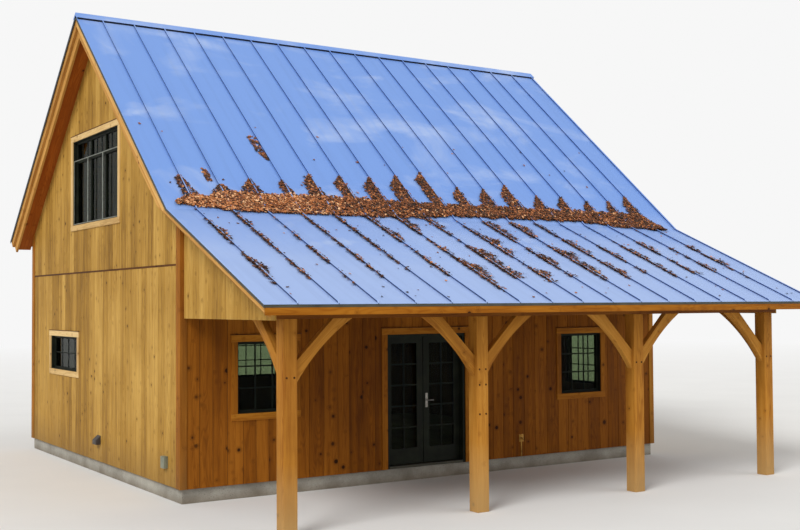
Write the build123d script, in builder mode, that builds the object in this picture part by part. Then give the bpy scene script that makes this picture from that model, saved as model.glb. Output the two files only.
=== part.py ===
from build123d import *
import math
import os

# A post and beam barn with an open porch along its front side.
# Millimetres. X runs along the ridge, Y from the porch to the rear wall, Z up from the ground.
# The origin is under the middle of the roof's outline, at ground level.

# Main sizes
barn_length = 8930.0          # outside corner to corner, along the ridge
barn_depth = 7440.0           # outside corner to corner, front wall to rear wall
porch_depth = 2740.0          # front wall to the front faces of the porch posts
porch_eave_overhang = 500.0   # porch posts to the lowest edge of the roof
rear_overhang = 380.0         # rear wall to the rear edge of the roof
rake_overhang = 320.0         # end walls to the side edges of the roof
break_out = 320.0             # the two roof pitches meet this far before the front wall
main_pitch = 40.6             # degrees
porch_pitch = 23.6            # degrees
porch_eave_height = 2711.0    # roof surface at its porch edge
siding_bottom = 200.0         # top of the concrete, bottom of the boarding
loft_level = 3261.0           # top of the loft floor and of the ledge on the end walls

# Walls
wall_thickness = 150.0
corner_board_proud = 20.0
corner_board_front_width = 100.0
corner_board_side_width = 150.0
slab_inset = 45.0             # concrete edge behind the outside corners
ledge_out = 14.0
ledge_height = 24.0

# Roof build-up, measured square to the slope
metal_thickness = 4.0
deck_thickness = 106.0
rake_board_depth = 280.0
rake_board_porch_depth = 148.0
rake_board_thickness = 36.0
rake_soffit_depth = 238.0     # underside of the planks between end walls and rake boards
rake_soffit_thickness = 19.0
shadow_board_depth = 150.0
shadow_board_porch_depth = 100.0
shadow_board_thickness = 45.0
edging_thickness = 3.0
edging_depth = 48.0
edging_porch_depth = 40.0
edging_stand_off = 18.0       # metal edging to the board behind it
fascia_thickness = 25.0
fascia_height = 124.0
drip_edge_height = 36.0
drip_edge_thickness = 3.0
eave_lip = 8.0                # roof metal past the drip edge
rear_fascia_height = 128.0
rear_fascia_setback = 12.0
cap_reach = 150.0
cap_rise = 32.0
cap_thickness = 4.0

# Timber frame
timber = 184.0
frame_inset = 170.0           # outside corners to the outer faces of the frame
bay_count = 3
tie_depth = 235.0
loft_plank = 38.0
rafter_width = 140.0
rafter_depth = 184.0
ridge_beam_width = 140.0
ridge_beam_depth = 286.0

# Porch frame
beam_depth = 184.0
rafter_seat = 56.0            # notch in each porch rafter over the beam
porch_rafter_width = 90.0
porch_rafter_depth = 130.0
rafters_between_posts = 2
ledger_thickness = 45.0
ledger_depth = 235.0
end_board_thickness = 25.0
end_board_inset = 57.0
end_board_drop = 18.0         # end boards hang this far below the beam
brace_thickness = 92.0
brace_leg = 780.0
brace_near_post = 512.0
brace_near_beam = 510.0
brace_sagitta = 61.0

# Windows: openings in the walls
small_window_width = 894.0
small_window_height = 1005.0
small_window_up = 980.0       # openings above the floor
wide_window_width = 1458.0
upper_window_width = 2320.0
upper_window_height = 1440.0
upper_window_up = 817.0       # above the loft floor
low_window_width = 1544.0
low_window_height = 590.0
low_window_up = 1375.0
left_window_from_post = 502.0     # right face of a bay's left post to the opening
wide_window_from_post = 884.0
right_window_from_post = 822.0
low_window_from_front = 4615.0
side_window_from_front = 1290.0
sash_width = 42.0
sash_depth = 60.0
sash_setback = 48.0           # behind the wall face
glass_thickness = 10.0
casing_width = 96.0
casing_thickness = 24.0

# Double door
door_from_post = 175.0        # right face of the middle bay's left post to its opening
door_width = 1458.0
door_height = 2038.0
jamb_thickness = 28.0
threshold_height = 36.0
stop_width = 14.0
stop_gap = 5.0
leaf_thickness = 45.0
leaf_gap = 6.0                # leaf to frame
meeting_gap = 10.0
stile_width = 112.0
bottom_rail_height = 240.0
leaf_glass_thickness = 14.0
hinge_barrel_radius = 7.0
hinge_offset = 8.0            # hinge pin before the inner face
hinge_height = 100.0
hinge_plate_width = 34.0
hinge_plate_thickness = 3.0
hinge_plate_clearance = 2.5
knuckle_gap = 0.5
hinge_low = 250.0             # above the bottom of the leaf
hinge_middle = 1000.0
hinge_high = 1750.0
handle_level = 960.0
handle_length = 120.0
handle_radius = 9.0
spindle_radius = 7.0
handle_stand_off = 50.0
rose_width = 40.0
rose_height = 220.0
rose_thickness = 8.0

# Small fittings on the walls
hood_out = 90.0
hood_along = 170.0
hood_height = 150.0
hood_lip = 70.0
hood_from_front = 3370.0
hood_up = 275.0
outlet_out = 70.0
outlet_width = 130.0
outlet_height = 165.0
outlet_from_front = 465.0
outlet_up = 240.0
tap_from_door = 1125.0        # right edge of the door opening to the tap
tap_up = 300.0
tap_plate_width = 90.0
tap_plate_height = 120.0
tap_plate_thickness = 16.0
tap_pipe_radius = 10.0
tap_spout_radius = 8.0
conduit_radius = 11.0
conduit_stand_off = 2.0       # conduit to the wall
tap_reach = 70.0
tap_drop = 40.0

# Places worked out from the main sizes
x_right = barn_length / 2
x_left = -x_right
total_depth = porch_eave_overhang + porch_depth + barn_depth + rear_overhang
y_eave = -total_depth / 2
y_post = y_eave + porch_eave_overhang
y_front = y_post + porch_depth
y_rear = y_front + barn_depth
y_rear_eave = y_rear + rear_overhang
y_ridge = (y_front + y_rear) / 2
y_break = y_front - break_out
x_rake = x_right + rake_overhang
main_slope = math.tan(math.radians(main_pitch))
porch_slope = math.tan(math.radians(porch_pitch))
main_cos = math.cos(math.radians(main_pitch))
main_sin = math.sin(math.radians(main_pitch))
porch_cos = math.cos(math.radians(porch_pitch))
z_break = porch_eave_height + (y_break - y_eave) * porch_slope
z_ridge = z_break + (y_ridge - y_break) * main_slope

wall_face = corner_board_proud            # boarding face behind the outside corners
wall_back = wall_face + wall_thickness
deck_bottom = metal_thickness + deck_thickness
small_window_sill = siding_bottom + small_window_up
low_window_sill = siding_bottom + low_window_up
upper_window_sill = loft_level + upper_window_up
door_head = siding_bottom + door_height


def main_z(y, depth):
    """Height on the main roof at y, a depth square to the slope under its surface."""
    return z_ridge - abs(y - y_ridge) * main_slope - depth / main_cos


def porch_z(y, depth):
    """Height on the porch roof at y, a depth square to the slope under its surface."""
    return porch_eave_height + (y - y_eave) * porch_slope - depth / porch_cos


def break_point(main_depth, porch_depth):
    """Where a layer of the main slope and one of the porch roof meet, each at its depth."""
    lift = main_depth / main_cos - porch_depth / porch_cos
    y = y_break + lift / (main_slope - porch_slope)
    return (y, porch_z(y, porch_depth))


def ridge_point(depth):
    return (y_ridge, main_z(y_ridge, depth))


def rear_point(depth, back=0.0):
    """Rear edge of the roof, cut square to its slope, a distance back along it."""
    y = y_rear_eave - depth * main_sin - back * main_cos
    return (y, main_z(y, depth))


def block(x, y, z):
    """Adds a straight block between pairs of faces."""
    with Locations(((x[0] + x[1]) / 2, (y[0] + y[1]) / 2, (z[0] + z[1]) / 2)):
        Box(x[1] - x[0], y[1] - y[0], z[1] - z[0])


def cut_block(x, y, z):
    """Cuts a straight block between pairs of faces."""
    with Locations(((x[0] + x[1]) / 2, (y[0] + y[1]) / 2, (z[0] + z[1]) / 2)):
        Box(x[1] - x[0], y[1] - y[0], z[1] - z[0], mode=Mode.SUBTRACT)


def prism(points, x):
    """Adds a piece with one outline, given as (y, z) points, from x[0] to x[1]."""
    with BuildSketch(Plane.YZ.offset(x[0])) as outline:
        with BuildLine():
            Polyline(*points, close=True)
        make_face()
    extrude(outline.sketch, amount=x[1] - x[0])


def finish(piece, name):
    """Names a finished piece and writes its file."""
    piece.part.label = name
    export_step(piece.part, "parts/" + name + ".step")


os.makedirs("parts", exist_ok=True)

# Concrete slab on the ground
with BuildPart() as foundation_slab:
    block((x_left + slab_inset, x_right - slab_inset),
          (y_front + slab_inset, y_rear - slab_inset),
          (0.0, siding_bottom))
finish(foundation_slab, "foundation_slab")

# End walls: a lower and an upper half, with one window each
window_faces = []             # wall, outward side, range along the wall, height range


def end_wall_x(side):
    """Face and back of an end wall; side is -1 for the left and 1 for the right."""
    face = side * (x_right - wall_face)
    back = side * (x_right - wall_back)
    return (min(face, back), max(face, back))


def end_window(side, y_start, width, sill, height):
    y = (y_start, y_start + width)
    z = (sill, sill + height)
    window_faces.append(("end", side, y, z))
    cut_block(end_wall_x(side), y, z)


def lower_end_wall(side, y_start, width, sill, height):
    with BuildPart() as wall:
        block(end_wall_x(side), (y_front + wall_face, y_rear - wall_face),
              (siding_bottom, loft_level))
        end_window(side, y_start, width, sill, height)
    return wall


def upper_end_wall(side):
    front = y_front + wall_face
    rear = y_rear - wall_face
    outline = ((front, loft_level),
               (rear, loft_level),
               (rear, main_z(rear, deck_bottom)),
               ridge_point(deck_bottom),
               (front, main_z(front, deck_bottom)))
    with BuildPart() as wall:
        prism(outline, end_wall_x(side))
        end_window(side, y_ridge - upper_window_width / 2, upper_window_width,
                   upper_window_sill, upper_window_height)
    return wall


left_gable_lower = lower_end_wall(-1, y_front + low_window_from_front, low_window_width,
                                  low_window_sill, low_window_height)
left_gable_upper = upper_end_wall(-1)
right_gable_lower = lower_end_wall(1, y_front + side_window_from_front, small_window_width,
                                   small_window_sill, small_window_height)
right_gable_upper = upper_end_wall(1)
finish(left_gable_lower, "left_gable_lower")
finish(left_gable_upper, "left_gable_upper")
finish(right_gable_lower, "right_gable_lower")
finish(right_gable_upper, "right_gable_upper")

# Bays of the timber frame, which also place the doors and windows of the long walls
frame_x = (x_left + frame_inset, x_right - frame_inset)
bay_pitch = (frame_x[1] - frame_x[0] - timber) / bay_count
post_x = [frame_x[0] + bay * bay_pitch for bay in range(bay_count + 1)]
first_bay = post_x[0] + timber
middle_bay = post_x[1] + timber
last_bay = post_x[-2] + timber

# Front and rear walls, between the end walls
x_between = (x_left + wall_back, x_right - wall_back)
front_y = (y_front + wall_face, y_front + wall_back)
rear_y = (y_rear - wall_back, y_rear - wall_face)


def long_window(side, y, x_start, width):
    x = (x_start, x_start + width)
    z = (small_window_sill, small_window_sill + small_window_height)
    window_faces.append(("long", side, x, z))
    cut_block(x, y, z)


def front_outline(bottom):
    """Section of the front wall from a height up to the roof."""
    return ((front_y[0], bottom), (front_y[1], bottom),
            (front_y[1], main_z(front_y[1], deck_bottom)),
            (front_y[0], main_z(front_y[0], deck_bottom)))


def rear_outline(bottom):
    return ((rear_y[0], bottom), (rear_y[1], bottom),
            (rear_y[1], main_z(rear_y[1], deck_bottom)),
            (rear_y[0], main_z(rear_y[0], deck_bottom)))


door_x = (middle_bay + door_from_post, middle_bay + door_from_post + door_width)
with BuildPart() as front_wall:
    prism(front_outline(siding_bottom), (x_between[0], door_x[0]))
    prism(front_outline(siding_bottom), (door_x[1], x_between[1]))
    long_window(-1, front_y, first_bay + left_window_from_post, small_window_width)
    long_window(-1, front_y, last_bay + right_window_from_post, small_window_width)
finish(front_wall, "front_wall")

with BuildPart() as front_wall_over_door:
    prism(front_outline(door_head), door_x)
finish(front_wall_over_door, "front_wall_over_door")

with BuildPart() as rear_wall:
    prism(rear_outline(siding_bottom), x_between)
    long_window(1, rear_y, first_bay + left_window_from_post, small_window_width)
    long_window(1, rear_y, middle_bay + wide_window_from_post, wide_window_width)
    long_window(1, rear_y, last_bay + right_window_from_post, small_window_width)
finish(rear_wall, "rear_wall")

# Corner boards, two boards at each corner; those on the end walls stop under the soffits
with BuildPart() as corner_boards:
    for side in (-1, 1):
        outer = side * x_right
        for end, edge in ((-1, y_front), (1, y_rear)):
            back_y = edge - end * corner_board_side_width
            if end < 0:
                tops = (porch_z(back_y, deck_bottom), porch_z(edge, deck_bottom))
            else:
                tops = (main_z(back_y, rake_soffit_depth), main_z(edge, rake_soffit_depth))
            x_pair = sorted((outer, outer - side * wall_face))
            prism(((edge, siding_bottom), (back_y, siding_bottom),
                   (back_y, tops[0]), (edge, tops[1])), x_pair)
            inner_y = edge - end * wall_face
            x_pair = sorted((outer - side * wall_face, outer - side * corner_board_front_width))
            prism(((edge, siding_bottom), (inner_y, siding_bottom),
                   (inner_y, main_z(inner_y, deck_bottom)),
                   (edge, main_z(edge, deck_bottom))), x_pair)
finish(corner_boards, "corner_boards")

# Ledges along the end walls at the loft level
with BuildPart() as gable_ledges:
    for side in (-1, 1):
        face = side * (x_right - wall_face)
        x_pair = sorted((face, face + side * ledge_out))
        block(x_pair, (y_front + corner_board_side_width, y_rear - corner_board_side_width),
              (loft_level - ledge_height / 2, loft_level + ledge_height / 2))
finish(gable_ledges, "gable_ledges")

# Timber frame inside the walls
plate_y = ((y_front + frame_inset, y_front + frame_inset + timber),
           (y_rear - frame_inset - timber, y_rear - frame_inset))
rafter_bottom = deck_bottom + rafter_depth
plate_top = main_z(plate_y[0][1], rafter_bottom)
plate_bottom = plate_top - timber
tie_top = loft_level - loft_plank

with BuildPart() as frame_posts:
    for x in post_x:
        for y in plate_y:
            block((x, x + timber), y, (siding_bottom, plate_bottom))
finish(frame_posts, "frame_posts")

with BuildPart() as tie_beams:
    for x in post_x:
        block((x, x + timber), (plate_y[0][1], plate_y[1][0]), (tie_top - tie_depth, tie_top))
finish(tie_beams, "tie_beams")

with BuildPart() as roof_beams:
    for y in plate_y:
        block(frame_x, y, (plate_bottom, plate_top))
    ridge_beam_top = main_z(y_ridge + ridge_beam_width / 2, deck_bottom)
    block(frame_x, (y_ridge - ridge_beam_width / 2, y_ridge + ridge_beam_width / 2),
          (ridge_beam_top - ridge_beam_depth, ridge_beam_top))
finish(roof_beams, "roof_beams")

with BuildPart() as main_rafters:
    for x in post_x:
        middle = x + timber / 2
        width = (middle - rafter_width / 2, middle + rafter_width / 2)
        for end, outer, inner in ((-1, plate_y[0][0], plate_y[0][1]),
                                  (1, plate_y[1][1], plate_y[1][0])):
            head = y_ridge + end * ridge_beam_width / 2
            prism(((head, main_z(head, deck_bottom)), (head, main_z(head, rafter_bottom)),
                   (inner, plate_top), (outer, plate_top),
                   (outer, main_z(outer, deck_bottom))), width)
finish(main_rafters, "main_rafters")

with BuildPart() as loft_floor:
    block(frame_x, (plate_y[0][1], plate_y[1][0]), (tie_top, loft_level))
finish(loft_floor, "loft_floor")

# Porch posts, beam, ties and braces
porch_rafter_bottom = deck_bottom + porch_rafter_depth
beam_top = porch_z(y_post, porch_rafter_bottom) + rafter_seat
beam_underside = beam_top - beam_depth
post_y = (y_post, y_post + timber)
with BuildPart() as porch_posts:
    for x in post_x:
        block((x, x + timber), post_y, (0.0, beam_underside))
finish(porch_posts, "porch_posts")

end_board_back = end_board_inset + end_board_thickness
with BuildPart() as porch_beam:
    block((x_left + end_board_back, x_right - end_board_back), post_y,
          (beam_underside, beam_top))
finish(porch_beam, "porch_beam")

with BuildPart() as porch_ties:
    for x in (post_x[0], post_x[-1]):
        block((x, x + timber), (post_y[1], y_front + wall_face), (beam_underside, beam_top))
finish(porch_ties, "porch_ties")


def brace(corner):
    """Adds a curved brace in the corner of a post and a beam."""
    bend = brace_sagitta / math.sqrt(2)
    with BuildSketch(corner) as side_view:
        with BuildLine():
            Line((0, -brace_leg), (0, -brace_near_post))
            Line((0, -brace_near_post), (brace_near_beam, 0))
            Line((brace_near_beam, 0), (brace_leg, 0))
            ThreePointArc((brace_leg, 0), (brace_leg / 2 - bend, -brace_leg / 2 + bend),
                          (0, -brace_leg))
        make_face()
    extrude(side_view.sketch, amount=brace_thickness / 2, both=True)


with BuildPart() as knee_braces:
    beam_middle = (post_y[0] + post_y[1]) / 2
    for x in post_x[:-1]:
        brace(Plane(origin=(x + timber, beam_middle, beam_underside),
                    x_dir=(1, 0, 0), z_dir=(0, -1, 0)))
    for x in post_x[1:]:
        brace(Plane(origin=(x, beam_middle, beam_underside),
                    x_dir=(-1, 0, 0), z_dir=(0, 1, 0)))
    for x in (post_x[0], post_x[-1]):
        brace(Plane(origin=(x + timber / 2, post_y[1], beam_underside),
                    x_dir=(0, 1, 0), z_dir=(1, 0, 0)))
finish(knee_braces, "knee_braces")

# Porch rafters on the beam and on a ledger along the wall
ledger_y = (y_front + wall_face - ledger_thickness, y_front + wall_face)
ledger_top = porch_z(ledger_y[0], deck_bottom)
with BuildPart() as porch_ledger:
    block((x_left + corner_board_front_width, x_right - corner_board_front_width), ledger_y,
          (ledger_top - ledger_depth, ledger_top))
finish(porch_ledger, "porch_ledger")

with BuildPart() as porch_rafters:
    step = bay_pitch / (rafters_between_posts + 1)
    count = bay_count * (rafters_between_posts + 1) + 1
    for index in range(count):
        middle = post_x[0] + timber / 2 + index * step
        width = (middle - porch_rafter_width / 2, middle + porch_rafter_width / 2)
        prism(((y_post, porch_z(y_post, deck_bottom)), (y_post, beam_top),
               (y_post + rafter_seat / porch_slope, beam_top),
               (ledger_y[0], porch_z(ledger_y[0], porch_rafter_bottom)),
               (ledger_y[0], porch_z(ledger_y[0], deck_bottom))), width)
finish(porch_rafters, "porch_rafters")

# Boarding that closes the ends of the porch roof
with BuildPart() as porch_end_boards:
    bottom = beam_underside - end_board_drop
    inner_break = break_point(deck_bottom, deck_bottom)
    outline = ((y_front, bottom), (y_post, bottom),
               (y_post, porch_z(y_post, deck_bottom)), inner_break,
               (y_front, main_z(y_front, deck_bottom)))
    prism(outline, (x_left + end_board_inset, x_left + end_board_back))
    prism(outline, (x_right - end_board_back, x_right - end_board_inset))
finish(porch_end_boards, "porch_end_boards")

# Roof decks, metal, rake boards and edges
x_shadow = x_rake - edging_thickness - edging_stand_off
x_board = x_shadow - shadow_board_thickness
x_deck = x_board - rake_board_thickness
y_drip = y_eave + eave_lip
y_fascia = y_drip + drip_edge_thickness
y_deck_front = y_fascia + fascia_thickness


def porch_slope_outline(top, bottom, y):
    """A layer of the porch roof between two depths, with an upright cut at y."""
    return (break_point(top, top), (y, porch_z(y, top)), (y, porch_z(y, bottom)),
            break_point(bottom, bottom))


def front_slope_outline(top, bottom):
    return (ridge_point(top), break_point(top, top), break_point(bottom, bottom),
            ridge_point(bottom))


def rear_slope_outline(top, bottom, back):
    """A layer of the rear slope, ending a distance back from its edge."""
    return (ridge_point(top), ridge_point(bottom), rear_point(bottom, back),
            rear_point(top, back))


def whole_roof_outline(bottom, porch_bottom, y, back):
    """A band under the metal that follows both slopes and the porch roof."""
    top = metal_thickness
    return (rear_point(top, back), ridge_point(top), break_point(top, top),
            (y, porch_z(y, top)), (y, porch_z(y, porch_bottom)),
            break_point(bottom, porch_bottom), ridge_point(bottom), rear_point(bottom, back))


rear_fascia_back = rear_fascia_setback + fascia_thickness

with BuildPart() as roof_deck_rear:
    prism(rear_slope_outline(metal_thickness, deck_bottom, rear_fascia_back),
          (-x_deck, x_deck))
finish(roof_deck_rear, "roof_deck_rear")

with BuildPart() as roof_deck_front:
    prism(front_slope_outline(metal_thickness, deck_bottom), (-x_deck, x_deck))
finish(roof_deck_front, "roof_deck_front")

with BuildPart() as roof_deck_porch:
    prism(porch_slope_outline(metal_thickness, deck_bottom, y_deck_front), (-x_deck, x_deck))
finish(roof_deck_porch, "roof_deck_porch")

with BuildPart() as roof_metal_rear:
    prism(rear_slope_outline(0.0, metal_thickness, 0.0), (-x_rake, x_rake))
finish(roof_metal_rear, "roof_metal_rear")

with BuildPart() as roof_metal_front:
    prism(front_slope_outline(0.0, metal_thickness), (-x_rake, x_rake))
finish(roof_metal_front, "roof_metal_front")

with BuildPart() as roof_metal_porch:
    prism(porch_slope_outline(0.0, metal_thickness, y_eave), (-x_rake, x_rake))
finish(roof_metal_porch, "roof_metal_porch")

with BuildPart() as ridge_cap:
    reach = cap_reach * main_cos
    edges = []
    for end in (-1, 1):
        y = y_ridge + end * reach
        edges.append(((y, main_z(y, 0.0)), (y, main_z(y, -cap_rise)),
                      (y - end * cap_thickness, main_z(y - end * cap_thickness,
                                                       cap_thickness - cap_rise)),
                      (y - end * cap_thickness, main_z(y - end * cap_thickness, 0.0))))
    front_edge, rear_edge = edges
    prism((front_edge[0], front_edge[1], ridge_point(-cap_rise), rear_edge[1], rear_edge[0],
           rear_edge[3], rear_edge[2], ridge_point(cap_thickness - cap_rise),
           front_edge[2], front_edge[3]), (-x_rake, x_rake))
finish(ridge_cap, "ridge_cap")

# Rake boards, with the soffit planks between them and the end walls
soffit_top = rake_soffit_depth - rake_soffit_thickness
soffit_outline = (rear_point(soffit_top, rear_fascia_back),
                  ridge_point(soffit_top),
                  break_point(soffit_top, deck_bottom - rake_soffit_thickness),
                  break_point(deck_bottom, deck_bottom),
                  break_point(rake_soffit_depth, deck_bottom),
                  ridge_point(rake_soffit_depth),
                  rear_point(rake_soffit_depth, rear_fascia_back))
soffit_end_outline = ((y_rear, main_z(y_rear, deck_bottom)),
                      (y_rear, main_z(y_rear, soffit_top)),
                      rear_point(soffit_top, rear_fascia_back),
                      rear_point(deck_bottom, rear_fascia_back))
with BuildPart() as rake_boards:
    for side in (-1, 1):
        prism(whole_roof_outline(rake_board_depth, rake_board_porch_depth, y_deck_front,
                                 rear_fascia_setback),
              sorted((side * x_deck, side * x_board)))
        soffit_x = sorted((side * (x_right - wall_face), side * x_deck))
        prism(soffit_outline, soffit_x)
        prism(soffit_end_outline, soffit_x)
finish(rake_boards, "rake_boards")

with BuildPart() as rake_shadow_boards:
    for side in (-1, 1):
        prism(whole_roof_outline(shadow_board_depth, shadow_board_porch_depth, y_deck_front,
                                 rear_fascia_setback),
              sorted((side * x_board, side * x_shadow)))
finish(rake_shadow_boards, "rake_shadow_boards")

with BuildPart() as rake_edging:
    for side in (-1, 1):
        prism(whole_roof_outline(edging_depth, edging_porch_depth, y_drip, 0.0),
              sorted((side * (x_rake - edging_thickness), side * x_rake)))
finish(rake_edging, "rake_edging")

with BuildPart() as porch_fascia:
    top = porch_z(y_fascia, metal_thickness)
    back_top = porch_z(y_deck_front, metal_thickness)
    prism(((y_fascia, top), (y_fascia, top - fascia_height),
           (y_deck_front, top - fascia_height), (y_deck_front, back_top)),
          (-x_shadow, x_shadow))
finish(porch_fascia, "porch_fascia")

with BuildPart() as porch_drip_edge:
    top = porch_z(y_drip, metal_thickness)
    prism(((y_drip, top), (y_drip, top - drip_edge_height),
           (y_fascia, top - drip_edge_height), (y_fascia, porch_z(y_fascia, metal_thickness))),
          (-(x_rake - edging_thickness), x_rake - edging_thickness))
finish(porch_drip_edge, "porch_drip_edge")

with BuildPart() as rear_fascia:
    prism((rear_point(metal_thickness, rear_fascia_setback),
           rear_point(metal_thickness, rear_fascia_back),
           rear_point(rear_fascia_height, rear_fascia_back),
           rear_point(rear_fascia_height, rear_fascia_setback)), (-x_deck, x_deck))
finish(rear_fascia, "rear_fascia")


# Casings on the boarding, then window sashes in the openings and glass in the sashes
def window_ring(window, into_wall, grow, hole_grow):
    """Adds a frame or pane: into_wall is its depth range behind the wall face."""
    kind, side, along, up = window
    face = side * (x_right - wall_face)
    if kind == "long":
        face = y_rear - wall_face if side > 0 else y_front + wall_face
    across = sorted((face - side * into_wall[0], face - side * into_wall[1]))
    outer_along = (along[0] - grow, along[1] + grow)
    outer_up = (up[0] - grow, up[1] + grow)
    if kind == "end":
        block(across, outer_along, outer_up)
    else:
        block(outer_along, across, outer_up)
    if hole_grow is not None:
        hole_along = (along[0] - hole_grow, along[1] + hole_grow)
        hole_up = (up[0] - hole_grow, up[1] + hole_grow)
        if kind == "end":
            cut_block(across, hole_along, hole_up)
        else:
            cut_block(hole_along, across, hole_up)


with BuildPart() as casings:
    for window in window_faces:
        window_ring(window, (-casing_thickness, 0.0), casing_width, 0.0)
    casing_y = (front_y[0] - casing_thickness, front_y[0])
    block((door_x[0] - casing_width, door_x[1] + casing_width), casing_y,
          (siding_bottom, door_head + casing_width))
    cut_block(door_x, casing_y, (siding_bottom, door_head))
finish(casings, "casings")

with BuildPart() as window_sashes:
    for window in window_faces:
        window_ring(window, (sash_setback, sash_setback + sash_depth), 0.0, -sash_width)
finish(window_sashes, "window_sashes")

with BuildPart() as window_glass:
    glass_front = sash_setback + (sash_depth - glass_thickness) / 2
    for window in window_faces:
        window_ring(window, (glass_front, glass_front + glass_thickness), -sash_width, None)
finish(window_glass, "window_glass")

# Double door: frame with stops, threshold, two glazed leaves
floor = siding_bottom
inner_face = front_y[1]
leaf_y = (inner_face - leaf_thickness, inner_face)
clear_x = (door_x[0] + jamb_thickness, door_x[1] - jamb_thickness)
clear_head = door_head - jamb_thickness
leaf_z = (floor + threshold_height + leaf_gap, clear_head - leaf_gap)
leaf_width = (clear_x[1] - clear_x[0] - 2 * leaf_gap - meeting_gap) / 2
leaf_x = ((clear_x[0] + leaf_gap, clear_x[0] + leaf_gap + leaf_width),
          (clear_x[1] - leaf_gap - leaf_width, clear_x[1] - leaf_gap))

with BuildPart() as door_frame:
    block(door_x, front_y, (floor, door_head))
    cut_block(clear_x, front_y, (floor, clear_head))
    stop_y = (front_y[0], leaf_y[0] - stop_gap)
    block(clear_x, stop_y, (floor, clear_head))
    cut_block((clear_x[0] + stop_width, clear_x[1] - stop_width), stop_y,
              (floor, clear_head - stop_width))
finish(door_frame, "door_frame")

with BuildPart() as door_threshold:
    threshold_z = (floor, floor + threshold_height)
    block((clear_x[0] + stop_width, clear_x[1] - stop_width), stop_y, threshold_z)
    block(clear_x, (stop_y[1], inner_face), threshold_z)
finish(door_threshold, "door_threshold")

leaf_glass_z = (leaf_z[0] + bottom_rail_height, leaf_z[1] - stile_width)


def door_leaf(x):
    """A glazed leaf between two x values."""
    with BuildPart() as leaf:
        block(x, leaf_y, leaf_z)
        cut_block((x[0] + stile_width, x[1] - stile_width), leaf_y, leaf_glass_z)
    return leaf


def door_pane(x):
    middle = (leaf_y[0] + leaf_y[1]) / 2
    with BuildPart() as pane:
        block((x[0] + stile_width, x[1] - stile_width),
              (middle - leaf_glass_thickness / 2, middle + leaf_glass_thickness / 2),
              leaf_glass_z)
    return pane


finish(door_leaf(leaf_x[0]), "door_leaf_left")
finish(door_leaf(leaf_x[1]), "door_leaf_right")
finish(door_pane(leaf_x[0]), "door_glass_left")
finish(door_pane(leaf_x[1]), "door_glass_right")

# Hinges: the frame holds the outer knuckles, the leaf the middle one
hinge_y = inner_face + hinge_offset
hinge_x = (clear_x[0] + leaf_gap / 2, clear_x[1] - leaf_gap / 2)
hinge_levels = (leaf_z[0] + hinge_low, leaf_z[0] + hinge_middle, leaf_z[0] + hinge_high)
knuckle = hinge_height / 3
plate_y_range = (inner_face, inner_face + hinge_plate_thickness)
plate_clear = hinge_barrel_radius + hinge_plate_clearance


def barrel(x, z):
    """Adds a knuckle between two heights."""
    with Locations((x, hinge_y, (z[0] + z[1]) / 2)):
        Cylinder(hinge_barrel_radius, z[1] - z[0])


def hinge_half(x, toward, bottom, knuckles):
    """Adds one half of a hinge: its plate lies toward the leaf or the frame."""
    far = x + toward * hinge_plate_width
    block(sorted((x + toward * plate_clear, far)), plate_y_range, (bottom, bottom + hinge_height))
    for z in knuckles:
        block(sorted((x, x + toward * plate_clear)), plate_y_range, z)
        barrel(x, z)


def frame_knuckles(bottom):
    return ((bottom, bottom + knuckle - knuckle_gap / 2),
            (bottom + 2 * knuckle + knuckle_gap / 2, bottom + hinge_height))


def leaf_knuckles(bottom):
    return ((bottom + knuckle + knuckle_gap / 2, bottom + 2 * knuckle - knuckle_gap / 2),)


with BuildPart() as door_hinges_frame:
    for x, toward in ((hinge_x[0], -1), (hinge_x[1], 1)):
        for level in hinge_levels:
            hinge_half(x, toward, level, frame_knuckles(level))
finish(door_hinges_frame, "door_hinges_frame")

with BuildPart() as door_hinges_left:
    for level in hinge_levels:
        hinge_half(hinge_x[0], 1, level, leaf_knuckles(level))
finish(door_hinges_left, "door_hinges_left")

with BuildPart() as door_hinges_right:
    for level in hinge_levels:
        hinge_half(hinge_x[1], -1, level, leaf_knuckles(level))
finish(door_hinges_right, "door_hinges_right")

with BuildPart() as door_handles:
    handle_x = leaf_x[1][0] + stile_width / 2
    handle_z = leaf_z[0] + handle_level
    for face, out in ((leaf_y[0], -1), (leaf_y[1], 1)):
        block((handle_x - rose_width / 2, handle_x + rose_width / 2),
              sorted((face, face + out * rose_thickness)),
              (handle_z - rose_height / 2, handle_z + rose_height / 2))
        with Locations(Location((handle_x, face + out * handle_stand_off / 2, handle_z),
                                (90, 0, 0))):
            Cylinder(spindle_radius, handle_stand_off)
        with Locations(Location((handle_x + handle_length / 2 - 2 * spindle_radius,
                                 face + out * handle_stand_off, handle_z), (0, 90, 0))):
            Cylinder(handle_radius, handle_length)
finish(door_handles, "door_handles")

# Fittings on the walls
with BuildPart() as vent_hood:
    face = -x_right + wall_face
    hood_y = y_front + hood_from_front
    hood_z = floor + hood_up
    hood_side = Plane(origin=(face, hood_y, 0), x_dir=(1, 0, 0), z_dir=(0, -1, 0))
    with BuildSketch(hood_side) as side_view:
        with BuildLine():
            Polyline((0, hood_z), (-hood_out, hood_z), (-hood_out, hood_z + hood_lip),
                     (0, hood_z + hood_height), close=True)
        make_face()
    extrude(side_view.sketch, amount=-hood_along)
finish(vent_hood, "vent_hood")

with BuildPart() as outlet_box:
    face = -x_right + wall_face
    outlet_y = y_front + outlet_from_front
    block((face - outlet_out, face), (outlet_y, outlet_y + outlet_width),
          (floor + outlet_up, floor + outlet_up + outlet_height))
finish(outlet_box, "outlet_box")

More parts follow.
